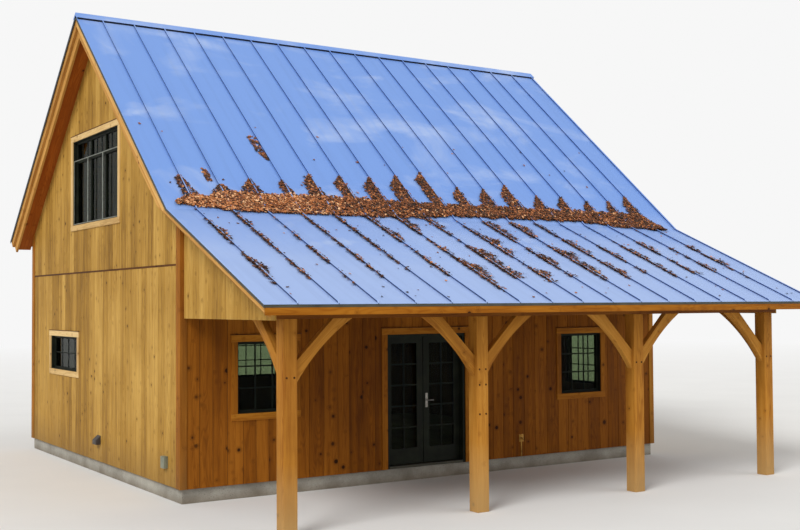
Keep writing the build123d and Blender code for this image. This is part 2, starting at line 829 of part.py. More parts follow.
with BuildPart() as water_tap:
    tap_x = door_x[1] + tap_from_door
    tap_z = floor + tap_up
    face = front_y[0]
    plate_z = (tap_z - tap_plate_height / 2, tap_z + tap_plate_height / 2)
    block((tap_x - tap_plate_width / 2, tap_x + tap_plate_width / 2),
          (face - tap_plate_thickness, face), plate_z)
    with Locations(Location((tap_x, face - tap_reach / 2, tap_z), (90, 0, 0))):
        Cylinder(tap_pipe_radius, tap_reach)
    with Locations((tap_x, face - tap_reach + 2 * tap_spout_radius, tap_z - tap_drop / 2)):
        Cylinder(tap_spout_radius, tap_drop)
    with Locations((tap_x, face - conduit_stand_off - conduit_radius,
                    (floor + plate_z[0] + tap_plate_thickness) / 2)):
        Cylinder(conduit_radius, plate_z[0] + tap_plate_thickness - floor)
finish(water_tap, "water_tap")
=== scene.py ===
import math
import random

import bmesh
import bpy
import numpy as np
from mathutils import Matrix, Vector, noise


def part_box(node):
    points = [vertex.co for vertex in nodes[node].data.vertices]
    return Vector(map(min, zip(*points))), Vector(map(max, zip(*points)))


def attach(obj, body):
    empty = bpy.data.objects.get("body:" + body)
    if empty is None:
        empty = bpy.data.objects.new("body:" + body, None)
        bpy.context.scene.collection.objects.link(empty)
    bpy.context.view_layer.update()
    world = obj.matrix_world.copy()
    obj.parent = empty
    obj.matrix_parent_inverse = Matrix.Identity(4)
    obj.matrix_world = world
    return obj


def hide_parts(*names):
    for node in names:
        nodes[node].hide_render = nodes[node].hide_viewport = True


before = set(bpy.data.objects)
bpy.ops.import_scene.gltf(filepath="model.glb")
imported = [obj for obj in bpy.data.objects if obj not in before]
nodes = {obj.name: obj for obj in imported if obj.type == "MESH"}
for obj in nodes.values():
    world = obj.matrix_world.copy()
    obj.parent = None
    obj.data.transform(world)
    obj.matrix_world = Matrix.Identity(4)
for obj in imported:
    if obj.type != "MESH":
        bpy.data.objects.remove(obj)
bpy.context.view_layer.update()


# Foundation slab. Poured concrete, cast against planks and left bare, with the whole barn on it.
# Its edge shows as a low grey band under the boarding, with small holes and splashes of earth.
def add_node(tree, kind, setup=None, **inputs):
    """Adds a shader node. Sockets go by name with _ for a space, or by number as i0, i1."""
    new = tree.nodes.new(kind)
    for key, value in (setup or {}).items():
        setattr(new, key, value)
    for key, value in inputs.items():
        numbered = key[0] == "i" and key[1:].isdigit()
        socket = new.inputs[int(key[1:])] if numbered else new.inputs[key.replace("_", " ")]
        if isinstance(value, bpy.types.NodeSocket):
            tree.links.new(value, socket)
        else:
            socket.default_value = value
    return new


def srgb(red, green, blue):
    """A colour as a paint card gives it, 0 to 255, turned into the shader's linear light."""
    steps = [value / 255 for value in (red, green, blue)]
    return tuple(s / 12.92 if s <= 0.04045 else ((s + 0.055) / 1.055) ** 2.4 for s in steps) + (1.0,)


def start_material(name):
    """A node material with its Principled shader, ready for a finish."""
    material = bpy.data.materials.new(name)
    material.use_nodes = True
    return material, material.node_tree, material.node_tree.nodes["Principled BSDF"]


def ramp(tree, factor, *stops):
    """A colour ramp through (position, colour) stops."""
    new = add_node(tree, "ShaderNodeValToRGB", Fac=factor)
    while len(new.color_ramp.elements) < len(stops):
        new.color_ramp.elements.new(0.5)
    for element, (position, colour) in zip(new.color_ramp.elements, stops):
        element.position = position
        element.color = colour
    return new.outputs["Color"]


def spread(tree, value, low, high, start=0.0, end=1.0):
    """Stretches a value between two levels to run from start to end, clamped at both."""
    return add_node(tree, "ShaderNodeMapRange", Value=value, From_Min=low, From_Max=high,
                    To_Min=start, To_Max=end).outputs["Result"]


def math_node(tree, operation, first, second=0.0):
    return add_node(tree, "ShaderNodeMath", {"operation": operation}, i0=first, i1=second).outputs[0]


def times(tree, first, second):
    return math_node(tree, "MULTIPLY", first, second)


def plus(tree, first, second):
    return math_node(tree, "ADD", first, second)


def object_place(tree):
    """Where a point lies on the barn, so that a pattern runs on from piece to piece."""
    return add_node(tree, "ShaderNodeTexCoord").outputs["Object"]


def mottle(tree, place, scale, detail, **more):
    """A cloudy value about 0.5, finer with a higher scale."""
    return add_node(tree, "ShaderNodeTexNoise", Vector=place, Scale=scale, Detail=detail, **more).outputs["Fac"]


def emboss(tree, shader, height, strength, distance):
    """Gives a finish its fine relief, distance metres high."""
    bump = add_node(tree, "ShaderNodeBump", Strength=strength, Distance=distance, Height=height)
    tree.links.new(bump.outputs["Normal"], shader.inputs["Normal"])


def mixed(tree, factor, first, second):
    """Mixes two colours."""
    new = add_node(tree, "ShaderNodeMix", {"data_type": "RGBA"}, i0=factor)
    for socket, value in ((new.inputs[6], first), (new.inputs[7], second)):
        if isinstance(value, bpy.types.NodeSocket):
            tree.links.new(value, socket)
        else:
            socket.default_value = value
    return new.outputs[2]


def cast_concrete():
    material, tree, shader = start_material("cast_concrete")
    where = object_place(tree)
    clouds = mottle(tree, where, 2.2, 6.0, Roughness=0.6)
    sand = mottle(tree, where, 85.0, 3.0)
    holes = add_node(tree, "ShaderNodeTexVoronoi", Vector=where, Scale=28.0).outputs["Distance"]
    pits = spread(tree, holes, 0.16, 0.07)
    height = add_node(tree, "ShaderNodeSeparateXYZ", Vector=where).outputs["Z"]
    splash = spread(tree, plus(tree, height, times(tree, clouds, 0.12)), 0.17, 0.05)
    grey = ramp(tree, clouds, (0.3, srgb(132, 128, 118)), (0.55, srgb(164, 160, 149)), (0.8, srgb(186, 182, 170)))
    speckled = mixed(tree, spread(tree, sand, 0.45, 0.75, 0.0, 0.5), grey, srgb(118, 112, 100))
    pitted = mixed(tree, pits, speckled, srgb(74, 69, 60))
    dirty = mixed(tree, times(tree, splash, 0.55), pitted, srgb(104, 84, 58))
    tree.links.new(dirty, shader.inputs["Base Color"])
    tree.links.new(spread(tree, sand, 0.3, 0.7, 0.78, 0.95), shader.inputs["Roughness"])
    relief = math_node(tree, "SUBTRACT", times(tree, sand, 0.4), pits)
    emboss(tree, shader, relief, 0.6, 0.004)
    return material


def islands(bm):
    """The separate solids of a mesh, each as a list of its vertices, in the same order in every run."""
    met, found = set(), []
    for first in bm.verts:
        if first in met:
            continue
        met.add(first)
        reached = [first]
        for vert in reached:
            for edge in vert.link_edges:
                other = edge.other_vert(vert)
                if other not in met:
                    met.add(other)
                    reached.append(other)
        found.append(reached)
    return sorted(found, key=lambda solid: min([round(value, 3) for value in vert.co] for vert in solid))


def lay_grain(bm, rng, along=None):
    """Notes in each vertex where it lies in its own stick: run of the grain, width, depth from the heart."""
    place = bm.verts.layers.float_vector.new("stick_place")
    tone = bm.verts.layers.float.new("stick_tone")
    for stick in islands(bm):
        points = np.array([vert.co[:] for vert in stick])
        middle = points.mean(axis=0)
        values, vectors = np.linalg.eigh(np.cov((points - middle).T) + np.eye(3) * 1e-9)
        axes = [Vector(vectors[:, i]) for i in (2, 1, 0)]
        if along is not None:
            axes[0] = along
            axes[1] = axes[1] if abs(axes[1].dot(along)) < 0.7 else Vector(vectors[:, 2])
        for world in (Vector((1, 0, 0)), Vector((0, 1, 0)), Vector((0, 0, 1))):
            if abs(axes[0].dot(world)) > 0.996:
                axes[0] = world
        axes[2] = axes[0].cross(axes[1]).normalized()
        axes[1] = axes[2].cross(axes[0])
        start = Vector((rng.uniform(0, 60), rng.uniform(-0.03, 0.03), rng.uniform(0.05, 0.22)))
        shade = rng.random()
        for vert in stick:
            arm = vert.co - Vector(middle)
            vert[place] = start + Vector([arm.dot(axis) for axis in axes])
            vert[tone] = shade


def settle(bm, name, material, body="barn", replaced=(), smooth=None):
    """Turns a finished bmesh into a piece of the barn with its finish and body."""
    bmesh.ops.recalc_face_normals(bm, faces=bm.faces)
    if smooth is not None:
        for face in bm.faces:
            face.smooth = True
        for edge in bm.edges:
            edge.smooth = len(edge.link_faces) == 2 and edge.calc_face_angle(0.0) < math.radians(smooth)
    mesh = bpy.data.meshes.new(name)
    bm.to_mesh(mesh)
    bm.free()
    piece = bpy.data.objects.new(name, mesh)
    bpy.context.scene.collection.objects.link(piece)
    mesh.materials.append(material)
    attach(piece, body)
    if replaced:
        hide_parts(*replaced)
    return piece


def ease_edges(bm, width, segments=2):
    """Takes the sharp edge off every corner, as a block plane does."""
    sharp = [e for e in bm.edges if len(e.link_faces) == 2 and e.calc_face_angle(0.0) > math.radians(25)]
    bmesh.ops.bevel(bm, geom=sharp, offset=width, segments=segments, profile=0.6, affect="EDGES",
                    clamp_overlap=True)


def eased_copy(node, name, width, material, body="barn", seed=1, segments=2):
    """A CAD node's solids as a new piece with eased edges, each stick with its own run of grain."""
    bm = bmesh.new()
    bm.from_mesh(nodes[node].data)
    bmesh.ops.remove_doubles(bm, verts=bm.verts, dist=2e-5)
    bmesh.ops.dissolve_limit(bm, angle_limit=math.radians(1.5), verts=bm.verts, edges=bm.edges)
    ease_edges(bm, width, segments)
    lay_grain(bm, random.Random(seed))
    return settle(bm, name, material, body, (node,), smooth=40)


concrete = cast_concrete()
eased_copy("foundation_slab", "slab_edge", 0.008, concrete, segments=3)


# Timber frame. Rough pine posts, tie beams, roof beams and rafters, pegged together and left with sawn faces.
# It stands inside the walls and shows through the glass and the open door.
def stretched(tree, place, scale):
    """The same places, drawn out so that a pattern runs along the grain or the slope."""
    return add_node(tree, "ShaderNodeMapping", Vector=place, Scale=scale).outputs["Vector"]


def pine_figure():
    """The pattern of sawn pine, from where a point lies in its stick: year rings, long streaks and knots."""
    group = bpy.data.node_groups.new("pine_figure", "ShaderNodeTree")
    group.interface.new_socket("Place", in_out="INPUT", socket_type="NodeSocketVector")
    knot_size = group.interface.new_socket("Knot Size", in_out="INPUT", socket_type="NodeSocketFloat")
    knot_size.default_value = 0.2
    for name in ("Rings", "Streaks", "Knots", "Halo", "Height"):
        group.interface.new_socket(name, in_out="OUTPUT", socket_type="NodeSocketFloat")
    start = group.nodes.new("NodeGroupInput")
    end = group.nodes.new("NodeGroupOutput")
    place, size = start.outputs["Place"], start.outputs["Knot Size"]
    knots = add_node(group, "ShaderNodeTexVoronoi", Vector=place, Scale=7.5, Randomness=1.0)
    chance = add_node(group, "ShaderNodeSeparateColor", Color=knots.outputs["Color"])
    strength = spread(group, chance.outputs["Green"], 0.0, 0.5, 0.5, 1.0)
    radius = times(group, spread(group, chance.outputs["Red"], 0.62, 1.0), size)
    far = math_node(group, "SUBTRACT", knots.outputs["Distance"], radius)
    heart = times(group, spread(group, far, 0.02, -0.06), strength)
    halo = times(group, spread(group, far, 0.26, 0.0), spread(group, chance.outputs["Red"], 0.62, 0.72))
    slow = stretched(group, place, (0.55, 3.2, 3.2))
    drift = mottle(group, slow, 1.0, 3.0, Roughness=0.5)
    flat = stretched(group, place, (0.0, 1.0, 1.0))
    round_heart = add_node(group, "ShaderNodeVectorMath", {"operation": "LENGTH"}, i0=flat).outputs["Value"]
    ring = plus(group, times(group, round_heart, 115.0),
                     times(group, drift, 16.0))
    ring = plus(group, ring, times(group, halo, 2.6))
    wave = math_node(group, "SINE", times(group, ring, 6.2832))
    rings = math_node(group, "POWER", spread(group, wave, -1.0, 1.0), 2.2)
    long_way = stretched(group, place, (0.9, 15.0, 15.0))
    streaks = add_node(group, "ShaderNodeTexNoise", Vector=long_way, Scale=1.0, Detail=5.0, Roughness=0.62)
    streaks = spread(group, streaks.outputs["Fac"], 0.32, 0.7)
    fibre_way = stretched(group, place, (9.0, 260.0, 260.0))
    fibres = mottle(group, fibre_way, 1.0, 2.0)
    height = plus(group, times(group, rings, 0.5), times(group, fibres, 0.7))
    height = plus(group, height, times(group, heart, 0.9))
    for name, value in (("Rings", rings), ("Streaks", streaks), ("Knots", heart), ("Halo", halo),
                        ("Height", height)):
        group.links.new(value, end.inputs[name])
    return group


figure = pine_figure()


def stained_pine(name, *stain, knot_size=0.2, foot=None):
    """Sawn pine under an oil stain, given as its pale, middle, deep and knot colours.
    foot is (height, colour) where rain splash has greyed the wood."""
    pale, middle, deep, knot = (srgb(*colour) for colour in stain)
    material, tree, shader = start_material(name)
    place = add_node(tree, "ShaderNodeAttribute", {"attribute_name": "stick_place"}).outputs["Vector"]
    tone = add_node(tree, "ShaderNodeAttribute", {"attribute_name": "stick_tone"}).outputs["Fac"]
    pine = add_node(tree, "ShaderNodeGroup", {"node_tree": figure}, Place=place, Knot_Size=knot_size)
    rings, streaks, knots, halo = (pine.outputs[n] for n in ("Rings", "Streaks", "Knots", "Halo"))
    where = object_place(tree)
    patches = mottle(tree, where, 0.8, 4.0, Roughness=0.55)
    depth = plus(tree, times(tree, streaks, 0.38), times(tree, rings, 0.16))
    depth = plus(tree, depth, times(tree, tone, 0.42))
    depth = plus(tree, depth, spread(tree, patches, 0.3, 0.7, -0.1, 0.16))
    stained = ramp(tree, depth, (0.08, pale), (0.48, middle), (0.92, deep))
    ringed = mixed(tree, times(tree, halo, 0.45), stained, deep)
    knotted = mixed(tree, times(tree, knots, 0.92), ringed, knot)
    if foot:
        height = add_node(tree, "ShaderNodeSeparateXYZ", Vector=where).outputs["Z"]
        uneven = plus(tree, height, spread(tree, patches, 0.2, 0.8, -0.22, 0.22))
        worn = times(tree, spread(tree, uneven, foot[0], 0.05), 0.7)
        knotted = mixed(tree, worn, knotted, srgb(*foot[1]))
    tree.links.new(knotted, shader.inputs["Base Color"])
    tree.links.new(spread(tree, streaks, 0.0, 1.0, 0.70, 0.54), shader.inputs["Roughness"])
    shader.inputs["Specular IOR Level"].default_value = 0.1
    emboss(tree, shader, pine.outputs["Height"], 0.35, 0.0022)
    return material


inside_timber = stained_pine("inside_timber", (214, 172, 112), (192, 142, 84), (150, 100, 54),
                             (80, 44, 22))
for node, width in (("frame_posts", 0.006), ("tie_beams", 0.006), ("roof_beams", 0.006), ("main_rafters", 0.005),
                    ("loft_floor", 0.003)):
    eased_copy(node, node + "_sawn", width, inside_timber, seed=len(node))


# Boarding of the two end walls. Upright pine boards of mixed widths, stained amber and nailed to the frame,
# in two heights with a thin ledge between; each board stops at the casings and follows the roof at its head.
ridge_y, ridge_z, break_y, break_z = 1.430, 7.4494, -2.610, 3.98673
main_slope, porch_slope = 0.85710, 0.43689
main_cos, main_sin, porch_cos = 0.75927, 0.65077, 0.91636
deck_under_main, deck_under_porch, soffit_depth = 0.1449, 0.1200, 0.238


def roof_height(y):
    """Height of the roof's surface at a place between the porch edge and the rear edge."""
    if y < break_y:
        return break_z + (y - break_y) * porch_slope
    return ridge_z - abs(y - ridge_y) * main_slope


def deck_underside(y):
    return roof_height(y) - (deck_under_porch if y < break_y else deck_under_main)


def bend_corner(depth, porch_depth):
    """Where a layer under the main slope meets one under the porch roof, as (y, z)."""
    y = break_y + (depth / main_cos - porch_depth / porch_cos) / (main_slope - porch_slope)
    return (y, break_z + (y - break_y) * porch_slope - porch_depth / porch_cos)


soffit_bend = bend_corner(soffit_depth, 0.110)[0]


def soffit_underside(y):
    """The soffit planks along the end walls, which turn near the change of pitch as the roof does."""
    if y < soffit_bend:
        return break_z + (y - break_y) * porch_slope - deck_under_porch
    return roof_height(y) - soffit_depth / main_cos


def board_outlines(left, right, foot, head, kinks, holes):
    """Cuts one upright board to the roof line and round the openings that it meets."""
    outlines = []
    one_side, other_side = [(left, foot)], [(right, foot)]
    for start, end, low, high in sorted(holes, key=lambda hole: hole[2]):
        if start >= right or end <= left:
            continue
        if start <= left + 0.03 and end >= right - 0.03:
            outlines.append(other_side + [(right, low), (left, low)] + one_side[::-1])
            one_side, other_side = [(left, high)], [(right, high)]
        elif start <= left:
            one_side += [(left, low), (end, low), (end, high), (left, high)]
        else:
            other_side += [(right, low), (start, low), (start, high), (right, high)]
    tops = [right] + [kink for kink in kinks if left < kink < right] + [left]
    outlines.append(other_side + [(u, head(u)) for u in tops] + one_side[::-1])
    return outlines


def upright_boards(name, on_wall, span, foot, head, holes, material, seed, proud=0.009, back=-0.002,
                   kinks=(), joint=0.006, replaced=()):
    """Boards side by side over a wall, with an open joint between each two."""
    rng = random.Random(seed)
    narrow, wide = 0.19, 0.26
    bm = bmesh.new()
    edges_at = [span[0]]
    while span[1] - edges_at[-1] > wide * 1.45:
        edges_at.append(edges_at[-1] + rng.uniform(narrow, wide))
    edges_at.append(span[1])
    front_edges = []
    for start, end in zip(edges_at, edges_at[1:]):
        left, right = start + joint / 2, end - joint / 2
        out = proud - rng.uniform(0, 0.0015)
        for outline in board_outlines(left, right, foot, head, kinks, holes):
            if max(z for u, z in outline) - min(z for u, z in outline) < 0.03:
                continue
            front = [bm.verts.new(on_wall(u, z, out)) for u, z in outline]
            rear = [bm.verts.new(on_wall(u, z, back)) for u, z in outline]
            face = bm.faces.new(front)
            bm.faces.new(rear[::-1])
            for i in range(len(front)):
                j = (i + 1) % len(front)
                bm.faces.new((front[i], rear[i], rear[j], front[j]))
            front_edges += list(face.edges)
    bmesh.ops.recalc_face_normals(bm, faces=bm.faces)
    bmesh.ops.bevel(bm, geom=front_edges, offset=0.003, segments=1, affect="EDGES", clamp_overlap=True)
    lay_grain(bm, rng, Vector((0, 0, 1)))
    return settle(bm, name, material, replaced=replaced)


end_face, front_face, rear_face = 4.445, -2.270, 5.130
on_left_gable = lambda u, z, out: Vector((-end_face - out, u, z))
on_right_gable = lambda u, z, out: Vector((end_face + out, u, z))
on_front = lambda u, z, out: Vector((u, front_face - out, z))
on_rear = lambda u, z, out: Vector((u, rear_face + out, z))
floor_z, ledge_low, ledge_high = 0.200, 3.249, 3.273
upper_window = (0.270, 2.590, 4.078, 5.518)
low_window = (2.325, 3.869, 1.575, 2.165)
side_window = (-1.000, -0.106, 1.180, 2.185)
sunny_boards = stained_pine("sunny_boards", (204, 162, 84), (172, 130, 56), (120, 84, 28),
                            (56, 32, 10), foot=(0.75, (128, 96, 50)))
gable_span = (-2.140, 5.000)
for name, wall, holes, seed in (("left", on_left_gable, (low_window,), 11),
                                ("right", on_right_gable, (side_window,), 12)):
    upright_boards(name + "_gable_boards_low", wall, gable_span, floor_z, lambda y: ledge_low, holes, sunny_boards,
                   seed)
    upright_boards(name + "_gable_boards_high", wall, gable_span, ledge_high, lambda y: soffit_underside(y) + 0.004,
                   (upper_window,), sunny_boards, seed + 10, kinks=(ridge_y, soffit_bend))


# Inner faces of the walls. Plain boards over the studs, seen only through the glass and the open door.
# The CAD walls carry them, and the outside boarding is nailed over these.
def core_material_painted_shade():
    """Pine behind the open joints, darker than the boarding so that the joints read dark as painted shade; laid out
    from the wall's own position.
    """
    material, tree, shader = start_material("wall_core_boards")
    where = object_place(tree)
    turned = add_node(tree, "ShaderNodeSeparateXYZ", Vector=where)
    place = add_node(tree, "ShaderNodeCombineXYZ", i0=turned.outputs["Z"], i1=turned.outputs["Y"],
                     i2=turned.outputs["X"]).outputs["Vector"]
    pine = add_node(tree, "ShaderNodeGroup", {"node_tree": figure}, Place=place, Knot_Size=0.26)
    colour = ramp(tree, pine.outputs["Streaks"], (0.1, srgb(112, 78, 42)), (0.9, srgb(72, 46, 22)))
    tree.links.new(mixed(tree, pine.outputs["Knots"], colour, srgb(52, 30, 14)), shader.inputs["Base Color"])
    tree.links.new(spread(tree, pine.outputs["Rings"], 0.0, 1.0, 0.85, 0.7), shader.inputs["Roughness"])
    emboss(tree, shader, pine.outputs["Height"], 0.3, 0.002)
    return material


def finish_node(node, material):
    """Gives a CAD node that stays in view its finish."""
    mesh = nodes[node].data
    mesh.materials.clear()
    mesh.materials.append(material)


core = core_material_painted_shade()
for node in ("left_gable_lower", "left_gable_upper", "right_gable_lower", "right_gable_upper", "front_wall",
             "front_wall_over_door", "rear_wall"):
    finish_node(node, core)


# Boarding of the front and rear walls. The same boards; under the porch they are coloured a darker orange-brown,
# which is painted shade from the porch roof.
door_hole = (-1.134, 0.324, 0.200, 2.238)
front_left_window = (-3.609, -2.715, 1.180, 2.185)
front_right_window = (2.315, 3.209, 1.180, 2.185)
wide_rear_window = (-0.425, 1.033, 1.180, 2.185)
# Darker orange-brown for the boards under the porch: painted shade.
porch_boards_painted_shade = stained_pine("porch_boards_painted_shade", (164, 100, 26), (134, 76, 12), (88, 44, 4),
                            (34, 14, 2), knot_size=0.28)
long_span = (-4.365, 4.365)
upright_boards("front_wall_boards", on_front, long_span, floor_z, lambda x: deck_underside(front_face) - 0.004,
               (front_left_window, door_hole, front_right_window), porch_boards_painted_shade, 31)
upright_boards("rear_wall_boards", on_rear, long_span, floor_z, lambda x: deck_underside(rear_face) - 0.004,
               (front_left_window, wide_rear_window, front_right_window), sunny_boards, 32)


# End boards of the porch. Upright boards nailed to the outside of the end rafter and tie, from the house corner
# to the eave, cut to the roof above and level along the tie's foot below. Their joints are tongued, so no light
# comes through.
def on_porch_end(side):
    return lambda u, z, out: Vector((side * (4.408 + out), u, z))


end_lo, end_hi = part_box("porch_end_boards")
for name, side, seed, replaced in (("left", -1, 61, ("porch_end_boards",)), ("right", 1, 62, ())):
    upright_boards("porch_end_boards_" + name, on_porch_end(side), (end_lo.y, end_hi.y), end_lo.z,
                   lambda y: deck_underside(y) + 0.004, (), sunny_boards, seed, proud=0.0,
                   back=-0.025, kinks=(break_y,), joint=0.0, replaced=replaced)


# Corner boards and the ledge. Two planks lap at each corner over the ends of the boarding;
# the ledge is a thin bent strip that sheds water from the upper boards, and its dark brown is painted shade.
corner_pine = stained_pine("corner_pine", (192, 134, 52), (162, 102, 32), (114, 64, 16),
                           (66, 34, 12), foot=(0.8, (128, 92, 48)))
# Dark brown for the ledge and drip strips: painted shade under them.
dark_edge_painted_shade = stained_pine("dark_edge_painted_shade", (110, 70, 38), (86, 52, 28), (58, 34, 18), (34, 20, 10))
eased_copy("corner_boards", "corner_planks", 0.003, corner_pine, seed=5)
eased_copy("gable_ledges", "ledge_strips", 0.003, dark_edge_painted_shade, seed=6)


# Porch frame. Heavy squared pine posts and a beam along the eave, joined to the house by tie beams
# and stiffened by curved braces; every joint is held by pairs of oak pegs.
post_timber = stained_pine("post_timber", (212, 156, 74), (186, 126, 46), (138, 82, 22),
                           (62, 28, 8), foot=(0.9, (184, 150, 98)))
shaded_timber = stained_pine("shaded_timber", (132, 80, 24), (106, 58, 14), (74, 38, 6), (34, 16, 4))
for node, width, finish in (("porch_posts", 0.008, post_timber), ("knee_braces", 0.005, post_timber),
                            ("porch_beam", 0.006, shaded_timber), ("porch_ties", 0.006, shaded_timber),
                            ("porch_ledger", 0.003, shaded_timber), ("porch_rafters", 0.004, shaded_timber)):
    eased_copy(node, node + "_planed", width, finish, seed=7 * len(node))


# Pegs. Turned oak pins, darker than the pine, driven through the posts and the beam where the braces are let in.
# Their domed ends stand a little proud; the second post has two more pairs lower down.
def oak_pegs():
    rng = random.Random(19)
    bm = bmesh.new()
    post_lefts, post_width, post_face = (-4.295, -1.493, 1.309, 4.111), 0.184, -5.030
    brace_foot, brace_head, pair = 1.85, 2.62, (0.043, 0.144)
    places = [(left + across, post_face, brace_foot) for left in post_lefts for across in pair]
    places += [(post_lefts[1] + across, post_face, z) for z in (1.65, 1.27) for across in pair]
    for left in post_lefts:
        for side, start in ((-1, left), (1, left + post_width)):
            if -4.2 < start < 4.2:
                places += [(start + side * out, post_face, brace_head) for out in (0.60, 0.70)]
    for x, y, z in places:
        turn = rng.uniform(0, 1)
        rings = []
        for radius, out in ((0.0135, -0.020), (0.0135, 0.002), (0.011, 0.005), (0.006, 0.0065)):
            rings.append([bm.verts.new((x + radius * math.cos(a), y - out, z + radius * math.sin(a)))
                          for a in (turn + k * math.pi / 5 for k in range(10))])
        for one, two in zip(rings, rings[1:]):
            for k in range(10):
                bm.faces.new((one[k], one[(k + 1) % 10], two[(k + 1) % 10], two[k]))
        bm.faces.new(rings[-1])
        bm.faces.new(rings[0][::-1])
    lay_grain(bm, rng, Vector((0, 1, 0)))
    return bm


peg_oak = stained_pine("peg_oak", (96, 58, 26), (72, 40, 16), (48, 26, 10), (30, 14, 6), knot_size=0.0)
settle(oak_pegs(), "oak_pegs", peg_oak)


# Roof deck. Planks over the rafters; from below their undersides show between the rafters of the porch
# and as one wide plank past the end boards.
soffit_pine = stained_pine("soffit_pine", (150, 92, 32), (122, 68, 18), (84, 44, 10), (38, 18, 5))
for node in ("roof_deck_rear", "roof_deck_front", "roof_deck_porch"):
    eased_copy(node, node + "_planks", 0.003, soffit_pine, seed=3 + len(node))


def profiled(bm, outline, x_start, x_end):
    """A straight board with one (y, z) outline, from one x to another."""
    near, far = ([bm.verts.new((x, y, z)) for y, z in outline] for x in (x_start, x_end))
    bm.faces.new(near)
    bm.faces.new(far[::-1])
    for i in range(len(outline)):
        j = (i + 1) % len(outline)
        bm.faces.new((near[i], far[i], far[j], near[j]))


def planed_boards(bm, name, width, material, seed, body="barn", replaced=(), segments=2):
    """Eases the edges of new boards, lays their grain and puts them on the barn."""
    ease_edges(bm, width, segments)
    lay_grain(bm, random.Random(seed))
    return settle(bm, name, material, body, replaced)


def porch_layer(y_start, y_end, top, bottom):
    """Outline of a board under the porch roof, cut square to the slope at both ends."""
    return [(y + porch_sin * depth, roof_height(y) - porch_cos * depth)
            for y, depth in ((y_start, top), (y_start, bottom), (y_end, bottom), (y_end, top))]


porch_sin, deck_edge = 0.40032, 4.683
bm = bmesh.new()
layer_end, plank_width, plank_gap = -2.640, 0.2345, 0.006
for side in (-1, 1):
    profiled(bm, porch_layer(-5.484, layer_end, 0.109, 0.128), side * 4.412, side * (deck_edge - 0.002))
for k in range(12):
    start = -5.470 + k * (plank_width + plank_gap)
    profiled(bm, porch_layer(start, min(start + plank_width, layer_end), 0.109, 0.119), -4.380, 4.380)
planed_boards(bm, "soffit_and_ceiling_planks", 0.0025, soffit_pine, 33, segments=1)


# Standing-seam roof. Long steel pans coloured pale blue, partly their own colour and partly painted sky reflection,
# their edges folded up into thin ribs that run from the ridge over the change of pitch to the eave.
def blue_steel(name, base, dust_and_sheen, roughness):
    material, tree, shader = start_material(name)
    where = object_place(tree)
    wide = stretched(tree, where, (0.55, 0.9, 0.9))
    clouds = mottle(tree, wide, 1.0, 5.0, Roughness=0.55, Distortion=0.6)
    running = stretched(tree, where, (9.0, 0.5, 0.5))
    runs = mottle(tree, running, 1.0, 4.0)
    # The pale cloudy patches are partly dust and partly painted reflection.
    dust = times(tree, spread(tree, clouds, 0.5, 0.74), spread(tree, runs, 0.2, 0.65, 0.35, 1.0))
    height = add_node(tree, "ShaderNodeSeparateXYZ", Vector=where).outputs["Z"]
    # The colour also grows paler towards the lower pitch.
    low_down = spread(tree, plus(tree, height, times(tree, clouds, 1.2)), 4.9, 3.9, 0.0, 0.62)
    dust = math_node(tree, "MAXIMUM", dust, low_down)
    colour = mixed(tree, times(tree, dust, 0.75), base, dust_and_sheen)
    shade = mixed(tree, spread(tree, runs, 0.5, 0.8, 0.0, 0.12), colour, srgb(84, 108, 156))
    # The rib sides are coloured dark navy: painted shade along every rib.
    fold = add_node(tree, "ShaderNodeAttribute", {"attribute_name": "rib_painted_shade"}).outputs["Fac"]
    shade = mixed(tree, times(tree, fold, 0.95), shade, srgb(20, 46, 96))
    tree.links.new(shade, shader.inputs["Base Color"])
    tree.links.new(spread(tree, dust, 0.0, 1.0, roughness, roughness + 0.22), shader.inputs["Roughness"])
    shader.inputs["Metallic"].default_value = 0.35
    waves = mottle(tree, where, 3.2, 2.0)
    emboss(tree, shader, waves, 0.25, 0.01)
    return material


# Pale blue base, partly painted sky reflection.
roof_steel = blue_steel("roof_steel", srgb(126, 166, 236), srgb(206, 219, 242), 0.40)
rake_x, rear_eave_y, eave_y = 4.785, 5.530, -5.530
first_seam, seam_pitch, seam_count = -4.361, 0.534, 18
rib_height, rib_width = 0.026, 0.016
seams = [first_seam + i * seam_pitch for i in range(seam_count)]


def pan_profile():
    """The roof's cross-section along the ridge: flat pans with a folded rib at every seam."""
    profile = [(-rake_x, 0.0)]
    for i, x in enumerate(seams):
        start = profile[-1][0]
        stop = x - rib_width / 2
        profile += [(start + (stop - start) * k / 4, 0.0) for k in (1, 2, 3)]
        half, neck, tip = rib_width / 2, rib_width / 2 * 0.45, rib_height
        profile += [(x - half, 0.0), (x - neck, 0.004), (x - neck, tip - 0.009), (x - half, tip - 0.008),
                    (x - half, tip), (x + half, tip), (x + half, tip - 0.008), (x + neck, tip - 0.009),
                    (x + neck, 0.004), (x + half, 0.0)]
    start = profile[-1][0]
    profile += [(start + (rake_x - start) * k / 4, 0.0) for k in (1, 2, 3, 4)]
    return profile


def roof_pans(name, stations, seed, replaced):
    """Sweeps the profile down the slope through (y, z, outward y, outward z) stations."""
    bm = bmesh.new()
    # Marks the rib sides, which get painted shade.
    fold = bm.verts.layers.float.new("rib_painted_shade")
    profile = pan_profile()
    rows = []
    for y, z, out_y, out_z in stations:
        row = []
        for x, rise in profile:
            wobble = 0.0 if rise else 0.0012 * noise.noise(Vector((x * 2.4 + seed, y * 1.3, z * 1.3)))
            lift = rise + wobble
            row.append(bm.verts.new((x, y + out_y * lift, z + out_z * lift)))
            row[-1][fold] = 1.0 if 0.0 < rise < rib_height else 0.0
        rows.append(row)
    for upper, lower in zip(rows, rows[1:]):
        for k in range(len(profile) - 1):
            bm.faces.new((upper[k], upper[k + 1], lower[k + 1], lower[k]))
    piece = settle(bm, name, roof_steel, replaced=replaced, smooth=28)
    thick = piece.modifiers.new("sheet", "SOLIDIFY")
    thick.thickness = 0.0035
    thick.offset = -1.0
    return piece


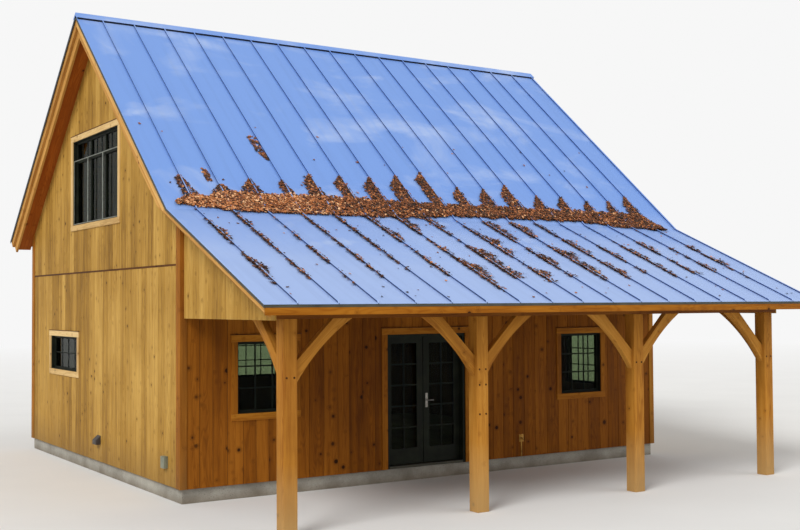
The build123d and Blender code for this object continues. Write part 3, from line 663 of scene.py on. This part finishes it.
main_out, porch_out = (-main_sin, main_cos), (-porch_sin, porch_cos)
middle_out = ((main_out[0] + porch_out[0]) / 2, (main_out[1] + porch_out[1]) / 2)
sunk, end_cut = 0.0012, 0.032
front_stations = [(y, roof_height(y) - sunk, *main_out) for y in np.linspace(ridge_y, break_y + 0.02, 12)]
front_stations += [(break_y, break_z - sunk, *middle_out)]
front_stations += [(y, roof_height(y) - sunk, *porch_out) for y in np.linspace(break_y - 0.02, eave_y + end_cut, 9)]
rear_stations = [(y, roof_height(y) - sunk, -main_out[0], main_out[1])
                 for y in np.linspace(ridge_y, rear_eave_y - end_cut, 12)]
for stations, edge, out in ((front_stations, eave_y, porch_out),
                            (rear_stations, rear_eave_y, (main_sin, main_cos))):
    side = 1 if edge > 0 else -1
    for back, height in ((0.022, 0.5), (0.006, 0.12), (0.003, 0.0)):
        y = edge - side * back
        stations.append((y, roof_height(y) - sunk, out[0] * height, out[1] * height))
roof_pans("front_pans", front_stations, 3, ("roof_metal_front", "roof_metal_porch"))
roof_pans("rear_pans", rear_stations, 8, ("roof_metal_rear",))


# Rake boards, soffits and fascias. Planed planks close the roof's edges. At each side edge a pale rake board hangs
# under the deck, mitred where the pitches meet, and one wide dark plank lies between it and the wall.
def main_layer(front, top, bottom, back, porch_top=0.0, porch_bottom=0.0):
    """Outline of a board under the front or the rear slope, from the ridge to its lower end."""
    upper = [(ridge_y, ridge_z - depth / main_cos) for depth in (top, bottom)]
    if front:
        return [upper[0], bend_corner(top, porch_top), bend_corner(bottom, porch_bottom), upper[1]]
    lower = []
    for depth in (top, bottom):
        y = rear_eave_y - depth * main_sin - back * main_cos
        lower.append((y, roof_height(y) - depth / main_cos))
    return [upper[0], lower[0], lower[1], upper[1]]


def rake_layer(bm, x_start, x_end, depth, porch_depth):
    """Three boards that follow one side edge of the roof, under its metal."""
    low = bend_corner(depth, porch_depth)
    eave = [(fascia_back, roof_height(fascia_back) - d / porch_cos) for d in (0.004, porch_depth)]
    for side in (-1, 1):
        profiled(bm, main_layer(False, 0.004, depth, 0.012), side * x_start, side * x_end)
        profiled(bm, main_layer(True, 0.004, depth, 0, 0.004, porch_depth), side * x_start, side * x_end)
        profiled(bm, [bend_corner(0.004, 0.004), eave[0], eave[1], low], side * x_start, side * x_end)


fascia_back, rake_face = -5.494, 4.719
rake_pine = stained_pine("rake_pine", (226, 180, 108), (202, 150, 78), (156, 104, 44), (76, 38, 14))
bm = bmesh.new()
rake_layer(bm, deck_edge, rake_face, 0.280, 0.148)
planed_boards(bm, "rake_boards_planed", 0.003, rake_pine, 24, replaced=("rake_boards",))

dark_soffit = stained_pine("dark_soffit", (184, 106, 36), (154, 80, 22), (112, 54, 12), (50, 20, 6))
bm = bmesh.new()
for side in (-1, 1):
    for outline in (main_layer(False, 0.219, soffit_depth, 0.037),
                    main_layer(True, 0.219, soffit_depth, 0, 0.091, 0.110),
                    [bend_corner(0.219, 0.091), bend_corner(0.110, 0.110), bend_corner(soffit_depth, 0.110)],
                    [(5.150, roof_height(5.150) - depth / main_cos) for depth in (0.110, 0.219)]
                    + [main_layer(False, 0.110, 0.219, 0.037)[k] for k in (2, 1)]):
        profiled(bm, outline, side * 4.4455, side * (deck_edge - 0.0005))
planed_boards(bm, "rake_soffit_planks", 0.0015, dark_soffit, 25, segments=1)

shadow_pine = stained_pine("shadow_pine", (222, 176, 106), (198, 146, 76), (150, 100, 42), (72, 36, 12))
bm = bmesh.new()
rake_layer(bm, rake_face, 4.764, 0.150, 0.100)
planed_boards(bm, "rake_shadow_strips", 0.002, shadow_pine, 26, replaced=("rake_shadow_boards",))

fascia_pine = stained_pine("fascia_pine", (176, 112, 28), (148, 86, 12), (104, 56, 6), (38, 16, 3),
                           knot_size=0.33)
eased_copy("porch_fascia", "porch_fascia_planed", 0.003, fascia_pine, seed=25)
eased_copy("rear_fascia", "rear_fascia_planed", 0.003, fascia_pine, seed=24)


# Edge metal and ridge cap. Olive-grey folded steel hangs along the side edges and over the fascia;
# the cap is bent from the roof's own steel and stands on a black closure strip along each side of the ridge.
def weathered_metal(name, dark, bright, scale, smooth, dull, metallic, detail=4.0, low=0.3):
    """Metal that the weather has clouded, in patches from dark and smooth to bright and dull."""
    material, tree, shader = start_material(name)
    clouds = mottle(tree, object_place(tree), scale, detail)
    tree.links.new(ramp(tree, clouds, (low, srgb(*dark)), (0.7, srgb(*bright))), shader.inputs["Base Color"])
    tree.links.new(spread(tree, clouds, 0.3, 0.7, smooth, dull), shader.inputs["Roughness"])
    shader.inputs["Metallic"].default_value = metallic
    return material


dark_steel = weathered_metal("edge_steel", (52, 52, 44), (80, 78, 64), 4.0, 0.35, 0.55, 0.3)
eased_copy("rake_edging", "rake_edging_folded", 0.0008, dark_steel, segments=1)
eased_copy("porch_drip_edge", "drip_edge_folded", 0.0008, dark_steel, segments=1)


def closure_foam():
    """Black foam with open pores."""
    material, tree, shader = start_material("closure_foam")
    where = object_place(tree)
    pores = add_node(tree, "ShaderNodeTexVoronoi", Vector=where, Scale=160.0).outputs["Distance"]
    tree.links.new(ramp(tree, pores, (0.1, srgb(4, 8, 20)), (0.6, srgb(12, 18, 40))), shader.inputs["Base Color"])
    tree.links.new(spread(tree, pores, 0.0, 0.7, 0.98, 0.85), shader.inputs["Roughness"])
    emboss(tree, shader, pores, 0.5, 0.002)
    return material


cap_half, cap_rise, lip_depth = 0.1139, 0.0421, 0.0045
cap_edge = roof_height(ridge_y - cap_half)
sheet = [(ridge_y, ridge_z + cap_rise - 0.005), (ridge_y, ridge_z + cap_rise)]
for side in (-1, 1):
    y = ridge_y + side * cap_half
    inside, top = y - side * 0.003, cap_edge + cap_rise
    lip = [(y, top), (y, top - lip_depth), (inside, top - lip_depth), (inside, top - 0.003)]
    sheet = lip[::-1] + sheet if side > 0 else sheet + lip
bm = bmesh.new()
profiled(bm, sheet, -rake_x, rake_x)
ease_edges(bm, 0.0006, 1)
settle(bm, "ridge_cap_folded", roof_steel, replaced=("ridge_cap",))

bm = bmesh.new()
for side in (-1, 1):
    outer, inner = ridge_y + side * (cap_half - 0.010), ridge_y + side * (cap_half - 0.034)
    foot, head = 0.001, cap_rise - 0.004
    profiled(bm, [(outer, roof_height(outer) + foot), (outer, roof_height(outer) + head),
                  (inner, roof_height(inner) + head), (inner, roof_height(inner) + foot)], -4.775, 4.775)
ease_edges(bm, 0.001, 1)
settle(bm, "ridge_closures", closure_foam())


# Window and door casings. Flat boards nailed over the boarding: the head runs across both sides,
# the sill board across their feet, and a thin bent strip over the head throws the rain off; its dark brown is
# painted shade.
def sticks(name, corners, width, material, seed, body="barn", replaced=(), segments=1):
    """Sawn sticks from pairs of opposite corners."""
    bm = bmesh.new()
    for one, two in corners:
        low = Vector([min(pair) for pair in zip(one, two)])
        high = Vector([max(pair) for pair in zip(one, two)])
        shape = Matrix.Diagonal(high - low).to_4x4()
        bmesh.ops.create_cube(bm, size=1.0, matrix=Matrix.Translation((low + high) / 2) @ shape)
    return planed_boards(bm, name, width, material, seed, body, replaced, segments)


windows = [("left_upper", on_left_gable, upper_window, 3, 1), ("right_upper", on_right_gable, upper_window, 3, 1),
           ("left_low", on_left_gable, low_window, 4, 2), ("right_side", on_right_gable, side_window, 3, 3),
           ("front_left", on_front, front_left_window, 3, 3), ("front_right", on_front, front_right_window, 3, 3),
           ("rear_left", on_rear, front_left_window, 3, 3), ("rear_right", on_rear, front_right_window, 3, 3),
           ("rear_wide", on_rear, wide_rear_window, 4, 3)]
casing_width, casing_proud = 0.096, 0.024
casing_boards, porch_casing_boards, drip_caps = [], [], []
for name, wall, (start, end, low, high), columns, rows in windows + [("door", on_front, door_hole, 0, 0)]:
    outer_start, outer_end = start - casing_width, end + casing_width
    foot = low if name == "door" else low - 0.0005
    boards = porch_casing_boards if wall is on_front else casing_boards
    boards += [(wall(outer_start, high, 0), wall(outer_end, high + casing_width, casing_proud)),
               (wall(outer_start, foot, 0), wall(start, high - 0.001, casing_proud - 0.001)),
               (wall(end, foot, 0), wall(outer_end, high - 0.001, casing_proud - 0.001))]
    if name != "door":
        boards.append((wall(outer_start, low - casing_width, 0), wall(outer_end, low - 0.001, casing_proud)))
    drip_caps.append((wall(outer_start - 0.012, high + casing_width, 0.005),
                      wall(outer_end + 0.012, high + casing_width + 0.008, casing_proud + 0.008)))
casing_pine = stained_pine("casing_pine", (234, 204, 148), (216, 180, 120), (174, 136, 80), (86, 52, 24))
# The casings under the porch are a darker copy of the casing stain: painted shade from the porch roof.
porch_casing_painted_shade = stained_pine("porch_casing_painted_shade", (186, 124, 38), (158, 96, 22), (112, 62, 10),
                                 (46, 20, 6))
sticks("casing_boards", casing_boards, 0.003, casing_pine, 41, replaced=("casings",), segments=2)
sticks("porch_casing_boards", porch_casing_boards, 0.003, porch_casing_painted_shade, 47, segments=2)
sticks("casing_drip_caps", drip_caps, 0.0015, dark_edge_painted_shade, 42)


# Window sashes. Dark painted wood with slender bars that divide the glass into small lights,
# set into a lining behind the casings. The big gable windows have a row of small lights over three tall ones.
def sash_paint(name, deep, worn, roughness):
    """Paint over wood: slightly uneven, chalked in patches, with brush lines."""
    material, tree, shader = start_material(name)
    where = object_place(tree)
    clouds = mottle(tree, where, 5.0, 5.0)
    brushed = stretched(tree, where, (140.0, 140.0, 6.0))
    brush = mottle(tree, brushed, 1.0, 2.0)
    tree.links.new(mixed(tree, spread(tree, clouds, 0.4, 0.75), deep, worn), shader.inputs["Base Color"])
    tree.links.new(spread(tree, clouds, 0.3, 0.7, roughness - 0.08, roughness + 0.12), shader.inputs["Roughness"])
    shader.inputs["Specular IOR Level"].default_value = 0.15
    emboss(tree, shader, brush, 0.25, 0.001)
    return material


dark_paint = sash_paint("dark_sash_paint", srgb(20, 24, 17), srgb(36, 41, 30), 0.6)
lining_thick, sash_gap = 0.012, 0.006
sash_width, sash_out, sash_in = 0.042, -0.048, -0.108
bar_width, bar_out, bar_in = 0.020, -0.066, -0.090
sash_parts, bar_parts, screen_parts = [], [], []
for name, wall, (start, end, low, high), columns, rows in windows:
    lining = ((start, start + lining_thick, low, high), (end - lining_thick, end, low, high),
              (start, end, high - lining_thick, high), (start, end, low, low + lining_thick))
    sash_parts += [(wall(a, c, 0.006), wall(b, d, sash_in)) for a, b, c, d in lining]
    inner = (start + sash_width, end - sash_width, low + sash_width, high - sash_width)
    sash_low, sash_high = low + sash_gap, high - sash_gap
    rails = ((start + sash_gap, inner[0], sash_low, sash_high), (inner[1], end - sash_gap, sash_low, sash_high),
             (inner[0] - 0.004, inner[1] + 0.004, sash_low, inner[2]),
             (inner[0] - 0.004, inner[1] + 0.004, inner[3], sash_high))
    sash_parts += [(wall(a, c, sash_out), wall(b, d, sash_in)) for a, b, c, d in rails]
    wide, tall = inner[1] - inner[0], inner[3] - inner[2]
    if "upper" in name:
        transom = inner[3] - 0.22 * tall
        sash_parts.append((wall(inner[0], transom - 0.024, sash_out), wall(inner[1], transom + 0.024, sash_in)))
        for k in (1, 2):
            u = inner[0] + wide * k / 3
            sash_parts.append((wall(u - 0.019, inner[2], sash_out), wall(u + 0.019, inner[3], sash_in)))
        for k in range(1, 9):
            if k % 3:
                u = inner[0] + wide * k / 9
                bar_parts.append((wall(u - 0.009, transom, bar_out), wall(u + 0.009, inner[3], bar_in)))
        for k in range(3):
            between = end - start - 2 * lining_thick
            left = start + lining_thick + between * k / 3
            right = left + between / 3 - 0.002 * (k < 2)
            foot, head, edge = low + lining_thick, transom + 0.012, 0.014
            frame_sides = ((left, left + edge, foot, head), (right - edge, right, foot, head),
                           (left + edge, right - edge, foot, foot + edge),
                           (left + edge, right - edge, head - edge, head))
            screen_parts += [(wall(a, c, 0.005), wall(b, d, -0.008)) for a, b, c, d in frame_sides]
        continue
    for k in range(1, columns):
        u = inner[0] + wide * k / columns
        bar_parts.append((wall(u - bar_width / 2, inner[2], bar_out), wall(u + bar_width / 2, inner[3], bar_in)))
    for k in range(1, rows):
        z = inner[2] + tall * k / rows
        bar_parts.append((wall(inner[0], z - bar_width / 2, bar_out + 0.001),
                          wall(inner[1], z + bar_width / 2, bar_in)))
sticks("sash_frames", sash_parts, 0.003, dark_paint, 43, replaced=("window_sashes",))
sticks("sash_bars", bar_parts, 0.004, dark_paint, 44)
screen_metal = weathered_metal("screen_aluminium", (126, 130, 120), (160, 163, 152), 22.0, 0.35, 0.6, 0.7,
                               detail=3.0)
sticks("upper_screen_frames", screen_parts, 0.002, screen_metal, 45)


# Window and door glass. Double panes with a heavy grey-green tint that darkens the rooms behind them as painted
# shade, a little dusty and faintly wavy, held in grooves at the middle of each sash and door leaf.
def tinted_glass_painted_shade():
    material, tree, shader = start_material("tinted_glass_painted_shade")
    where = object_place(tree)
    dust = mottle(tree, where, 1.6, 5.0, Roughness=0.65)
    tree.links.new(ramp(tree, dust, (0.35, (0.34, 0.40, 0.28, 1.0)), (0.75, (0.26, 0.31, 0.22, 1.0))),
                   shader.inputs["Base Color"])
    tree.links.new(spread(tree, dust, 0.4, 0.8, 0.0, 0.06), shader.inputs["Roughness"])
    ripple = mottle(tree, where, 2.4, 1.0)
    emboss(tree, shader, ripple, 0.08, 0.01)
    shader.inputs["Transmission Weight"].default_value = 1.0
    shader.inputs["IOR"].default_value = 1.1
    shader.inputs["Specular IOR Level"].default_value = 0.05
    return material


pane_glass = tinted_glass_painted_shade()
for node in ("window_glass", "door_glass_left", "door_glass_right"):
    finish_node(node, pane_glass)


# Double door. Two glazed leaves of dark painted wood in a rebated frame over a low sill,
# hung on three butt hinges each; bars divide each pane into small lights.
door_paint = sash_paint("dark_door_paint", srgb(24, 28, 21), srgb(40, 45, 34), 0.55)
eased_copy("door_frame", "door_lining", 0.003, door_paint, segments=1)
eased_copy("door_threshold", "door_sill", 0.003, dark_steel, segments=1)
leaf_front, leaf_rear, stile, half_bar = -2.165, -2.120, 0.112, 0.011
for side, start, end in (("left", -1.100, -0.410), ("right", -0.400, 0.290)):
    eased_copy("door_leaf_" + side, side + "_leaf_frame", 0.0025, door_paint, side + "_door",
               segments=1)
    glass_start, glass_end, glass_low, glass_high = start + stile, end - stile, 0.482, 2.092
    middle = (glass_start + glass_end) / 2
    bars = [(middle - half_bar, middle + half_bar, glass_low, glass_high)]
    for k in range(1, 5):
        z = glass_low + (glass_high - glass_low) * k / 5
        bars.append((glass_start, glass_end, z - half_bar, z + half_bar))
    corners = [((a, leaf_front + 0.006 + 0.001 * (i > 0), c), (b, leaf_rear - 0.006, d))
               for i, (a, b, c, d) in enumerate(bars)]
    sticks(side + "_leaf_bars", corners, 0.004, door_paint, 51, side + "_door")


# Door fittings. Pressed steel butt hinges with a round barrel, screwed to the frame and the leaves,
# and a lever handle on a long plate on each side of the right leaf.
fitting_steel = weathered_metal("fitting_steel", (128, 126, 120), (182, 180, 172), 30.0, 0.25, 0.45, 0.9, low=0.35)
for node in ("door_hinges_frame", "door_hinges_left", "door_hinges_right", "door_handles"):
    finish_node(node, fitting_steel)


# Small fittings. A dryer hood and an outlet box of moulded plastic on the left gable,
# and a brass garden tap under the porch, each screwed on over the boarding.
def moulded_plastic(name, pale, grimy):
    """Moulded plastic with a fine grain and some grime."""
    material, tree, shader = start_material(name)
    where = object_place(tree)
    grime = mottle(tree, where, 9.0, 5.0)
    grain = mottle(tree, where, 420.0, 1.0)
    tree.links.new(mixed(tree, spread(tree, grime, 0.45, 0.8), pale, grimy), shader.inputs["Base Color"])
    tree.links.new(spread(tree, grime, 0.3, 0.7, 0.42, 0.6), shader.inputs["Roughness"])
    emboss(tree, shader, grain, 0.2, 0.0006)
    return material


# The hood's dark brown-grey is painted shade; the grime on it is its own.
dark_plastic_painted_shade = moulded_plastic("dark_plastic_painted_shade", srgb(58, 52, 50), srgb(38, 34, 34))
eased_copy("vent_hood", "vent_hood_moulding", 0.004, dark_plastic_painted_shade)
grey_plastic = moulded_plastic("grey_plastic", srgb(128, 132, 114), srgb(88, 90, 74))
eased_copy("outlet_box", "outlet_cover", 0.004, grey_plastic)
tap_brass = weathered_metal("tap_brass", (146, 106, 48), (196, 152, 78), 30.0, 0.25, 0.45, 0.9, low=0.35)
finish_node("water_tap", tap_brass)


# Fallen leaves. The roof keeps its autumn litter: a thick brown band where the pitches meet,
# wedges caught above it against the ribs, and ragged lines beside the ribs down to the eave.
def slope_frame(x, along):
    """A place up (or, below zero, down) the slope from the change of pitch, with its three directions."""
    run, rise = (main_cos, main_sin) if along > 0 else (porch_cos, porch_sin)
    across, upward, outward = Vector((1, 0, 0)), Vector((0, run, rise)), Vector((0, -rise, run))
    return Vector((x, break_y, break_z)) + upward * along, across, upward, outward


def drop_leaf(bm, rng, x, along, lift=0.0, ripe_and_painted_light=0.5):
    """Lays one small curled leaf; its brightness setting is partly the leaves' own colour and partly painted
    sunlight and painted shade.
    """
    tone = bm.verts.layers.float["leaf_tone"]
    base, across, upward, outward = slope_frame(x, along)
    base += outward * (0.004 + lift)
    size, turn = rng.uniform(0.014, 0.032), rng.uniform(0, 2 * math.pi)
    lean, tilt = rng.uniform(0, 2 * math.pi), rng.uniform(0, 0.6)
    shade = rng.gauss(ripe_and_painted_light, 0.25)
    centre = bm.verts.new(base)
    centre[tone] = shade
    rim = []
    for k, reach in enumerate((1.0, 0.55, 0.85, 0.45, 0.75, 0.5, 0.9)):
        angle = turn + k * math.pi / 3.5
        far = size * reach * rng.uniform(0.85, 1.15)
        up = 0.12 * far * abs(rng.gauss(0, 1)) + max(0.0, far * tilt * math.cos(angle - lean))
        aside, above = across * far * math.cos(angle), upward * far * math.sin(angle)
        rim.append(bm.verts.new(base + aside + above + outward * up))
        rim[-1][tone] = shade + rng.uniform(-0.1, 0.1)
    for one, two in zip(rim, rim[1:] + rim[:1]):
        bm.faces.new((centre, one, two))


def drop_needle(bm, rng, x, along):
    """Lays one pine needle, a thin bent sliver."""
    tone = bm.verts.layers.float["leaf_tone"]
    base, across, upward, outward = slope_frame(x, along)
    turn, length = rng.uniform(0, math.pi), rng.uniform(0.05, 0.11)
    way = across * math.cos(turn) + upward * math.sin(turn)
    side = (across * math.sin(turn) - upward * math.cos(turn)) * 0.003
    shade = rng.uniform(0.0, 0.35)
    ends = [base + outward * rng.uniform(0.004, 0.02) + way * (s * length) + side * (1 - abs(s))
            for s in (-0.5, 0.0, 0.5)]
    ends.append(ends[1] - side * 2)
    corners = [bm.verts.new(place) for place in ends]
    for corner in corners:
        corner[tone] = shade
    bm.faces.new(corners)


def new_litter():
    bm = bmesh.new()
    bm.verts.layers.float.new("leaf_tone")
    return bm


def band_edges(x):
    """Lower and upper edge of the thick band at a place along the roof, up the slope from the change of pitch."""
    low = np.interp(x, (-4.6, -4.2, -3.6, -1.0, 0.0, 2.6, 3.3, 4.4),
                    (0.10, 0.06, -0.02, 0.0, 0.10, 0.11, 0.0, -0.08))
    high = np.interp(x, (-4.6, -4.45, -4.1, -3.8, -2.0, -0.4, 4.1, 4.45),
                     (0.16, 0.30, 0.32, 0.43, 0.46, 0.40, 0.42, 0.0))
    ragged = 0.06 * noise.noise(Vector((x * 5.0, 8.0, 0.0)))
    return low + ragged, high - ragged


def leaf_band():
    rng = random.Random(77)
    bm = new_litter()
    for i in range(17000):
        x = rng.uniform(-4.60, 4.43)
        low, high = band_edges(x)
        if high > low:
            # Brighter leaves towards the left end of the band: painted sunlight.
            ripe_and_painted_light = np.interp(x, (-3, -1), (0.66, 0.37))
            drop_leaf(bm, rng, x, rng.uniform(low, high), rng.uniform(0.0, 0.03), ripe_and_painted_light)
    return bm


def leaf_fin(bm, rng, seam, peak, foot, girth):
    """Leaves heaped against the upper side of one rib, up to a peak."""
    for k in range(int(2900 * (peak - foot) * (girth + 0.05))):
        up = rng.uniform(foot, peak)
        left = min(girth, 0.9 * (peak - up)) * rng.uniform(0.8, 1.05)
        spill = np.interp(seam, (-3.5, -1.5), (0.34, 0.10)) * max(0.0, 0.8 - up)
        # These heaped leaves are darker: painted shade.
        drop_leaf(bm, rng, rng.uniform(seam - 0.015 - left, seam + spill), up, rng.uniform(0, 0.02), 0.33)


def leaf_line(bm, rng, seam):
    """Leaves and needles in ragged heaps along one rib of the porch roof, broadest at mid roof."""
    girth = np.interp(seam, (-4.4, -2.0, -0.6, 0.6, 2.0, 4.2), (0.08, 0.09, 0.19, 0.21, 0.14, 0.18))
    head, foot = (0.0, rng.uniform(2.2, 2.8)) if seam < 1.8 else (rng.uniform(0.75, 1.0), rng.uniform(2.0, 2.3))
    for k in range(40):
        # Darker leaves along the ribs: painted shade.
        drop_leaf(bm, rng, seam - 0.02 + 0.05 * rng.random(), -rng.uniform(0, foot), 0.01, 0.2)
    for k in range(int(4200 * girth * (foot - head))):
        down = rng.uniform(head, foot)
        long_swell = noise.noise(Vector((seam * 5.0, down * 1.7, 0.0)))
        swell = long_swell + 0.45 * noise.noise(Vector((seam * 5.0, down * 7.0, 4.0)))
        width = min(1.7, 0.55 + 1.6 * swell) * girth
        if width < 1.7 * girth * rng.random():
            continue
        across = width * rng.random() ** 1.7
        drop_leaf(bm, rng, seam - 0.035 + across, -down, rng.uniform(0, 0.022), 0.27)
        if k % 3 == 0:
            drop_needle(bm, rng, seam - 0.06 + 1.5 * across, -down)


def leaf_drifts():
    rng = random.Random(78)
    bm = new_litter()
    peaks = (0.80, 0.60, 0.79, 0.82, 1.01, 1.03, 1.03, 1.13, 1.28, 0.90, 0.90, 1.05, 0.79, 0.80, 0.72, 0.75, 0.93)
    girths = (0.08, 0.26, 0.24, 0.10, 0.20, 0.18, 0.22, 0.26, 0.20, 0.22, 0.24, 0.25, 0.25, 0.22, 0.20, 0.17, 0.24)
    for seam, peak, girth in zip(seams, peaks, girths):
        leaf_fin(bm, rng, seam, peak, 0.30, girth)
        leaf_line(bm, rng, seam)
    for k in range(70):
        drop_leaf(bm, rng, seams[1] - 0.11 + rng.uniform(-0.04, 0.04), rng.uniform(0.70, 1.0), ripe_and_painted_light=0.36)
    for k in range(150):
        up = rng.uniform(1.35, 1.99)
        drop_leaf(bm, rng, seams[3] - 0.02 - 0.13 * rng.random() * min(1.0, (up - 1.3) / 0.3), up, ripe_and_painted_light=0.36)
    for k in range(90):
        drop_leaf(bm, rng, rng.uniform(-4.6, 4.6), rng.uniform(-3.0, -0.1))
    for k in range(30):
        drop_leaf(bm, rng, rng.uniform(-4.6, 4.6), rng.uniform(0.2, 2.4))
    return bm


def dry_leaves():
    material, tree, shader = start_material("dry_leaves")
    tone = add_node(tree, "ShaderNodeAttribute", {"attribute_name": "leaf_tone"}).outputs["Fac"]
    where = object_place(tree)
    veins = mottle(tree, where, 70.0, 3.0)
    colour = ramp(tree, tone, (0.05, srgb(34, 20, 12)), (0.3, srgb(84, 48, 24)), (0.55, srgb(146, 82, 40)),
                  (0.78, srgb(204, 126, 66)), (1.0, srgb(242, 190, 140)))
    tree.links.new(mixed(tree, spread(tree, veins, 0.45, 0.7, 0.0, 0.3), colour, srgb(92, 52, 24)),
                   shader.inputs["Base Color"])
    tree.links.new(spread(tree, veins, 0.3, 0.7, 0.6, 0.85), shader.inputs["Roughness"])
    emboss(tree, shader, veins, 0.4, 0.002)
    return material


leaves = dry_leaves()
settle(leaf_band(), "roof_leaf_band", leaves)
settle(leaf_drifts(), "roof_leaf_drifts", leaves)


# Floor, light and camera. A pale floor, an even white sky and two broad lamps like a studio's,
# seen from the place and at the angle that the barn was seen from.
def pale_floor():
    material, tree, shader = start_material("pale_floor")
    where = object_place(tree)
    mottled = mottle(tree, where, 0.6, 3.0)
    tree.links.new(ramp(tree, mottled, (0.3, srgb(226, 225, 222)), (0.7, srgb(229, 228, 225))),
                   shader.inputs["Base Color"])
    shader.inputs["Roughness"].default_value = 0.95
    shader.inputs["Specular IOR Level"].default_value = 0.1
    away = add_node(tree, "ShaderNodeVectorMath", {"operation": "LENGTH"}, i0=where).outputs["Value"]
    haze = add_node(tree, "ShaderNodeEmission", Color=(0.93, 0.93, 0.93, 1.0), Strength=1.0)
    blend = add_node(tree, "ShaderNodeMixShader", Fac=spread(tree, away, 14.0, 60.0))
    tree.links.new(shader.outputs["BSDF"], blend.inputs[1])
    tree.links.new(haze.outputs["Emission"], blend.inputs[2])
    tree.links.new(blend.outputs["Shader"], tree.nodes["Material Output"].inputs["Surface"])
    return material


floor_mesh = bpy.data.meshes.new("studio_floor")
bm = bmesh.new()
bmesh.ops.create_circle(bm, cap_ends=True, segments=96, radius=150.0)
bm.to_mesh(floor_mesh)
bm.free()
studio_floor = bpy.data.objects.new("studio_floor", floor_mesh)
bpy.context.scene.collection.objects.link(studio_floor)
floor_mesh.materials.append(pale_floor())

world = bpy.data.worlds.new("studio_sky")
bpy.context.scene.world = world
world.use_nodes = True
sky = world.node_tree
path = add_node(sky, "ShaderNodeLightPath")
seen = math_node(sky, "MAXIMUM", path.outputs["Is Camera Ray"], path.outputs["Is Transmission Ray"])
plain = sky.nodes["Background"]
plain.inputs["Color"].default_value = (1.0, 1.0, 1.0, 1.0)
sky.links.new(spread(sky, seen, 0.0, 1.0, 0.55, 0.93), plain.inputs["Strength"])

for name, strength, turn, spread_angle in (("main_lamp", 2.0, (math.radians(48), 0, math.radians(-62)), 26),
                                           ("fill_lamp", 0.55, (math.radians(58), 0, math.radians(40)), 50)):
    lamp = bpy.data.lights.new(name, "SUN")
    lamp.energy = strength
    lamp.angle = math.radians(spread_angle)
    holder = bpy.data.objects.new(name, lamp)
    holder.rotation_euler = turn
    bpy.context.scene.collection.objects.link(holder)

camera_data = bpy.data.cameras.new("photo_view")
camera_data.lens = 51.08
camera_data.sensor_width = 36.0
camera_data.clip_end = 500.0
camera = bpy.data.objects.new("photo_view", camera_data)
bpy.context.scene.collection.objects.link(camera)
yaw, pitch, roll = math.radians(32.874), math.radians(1.911), math.radians(-0.322)
ahead = Vector((math.sin(yaw) * math.cos(pitch), math.cos(yaw) * math.cos(pitch), math.sin(pitch)))
right = Vector((math.cos(yaw), -math.sin(yaw), 0.0))
up = right.cross(ahead)
rolled_right = right * math.cos(roll) + up * math.sin(roll)
rolled_up = up * math.cos(roll) - right * math.sin(roll)
turned = Matrix((rolled_right, rolled_up, -ahead)).transposed().to_4x4()
camera.matrix_world = Matrix.Translation((-10.332, -16.884, 2.719)) @ turned
bpy.context.scene.camera = camera
bpy.context.scene.view_settings.view_transform = "Standard"
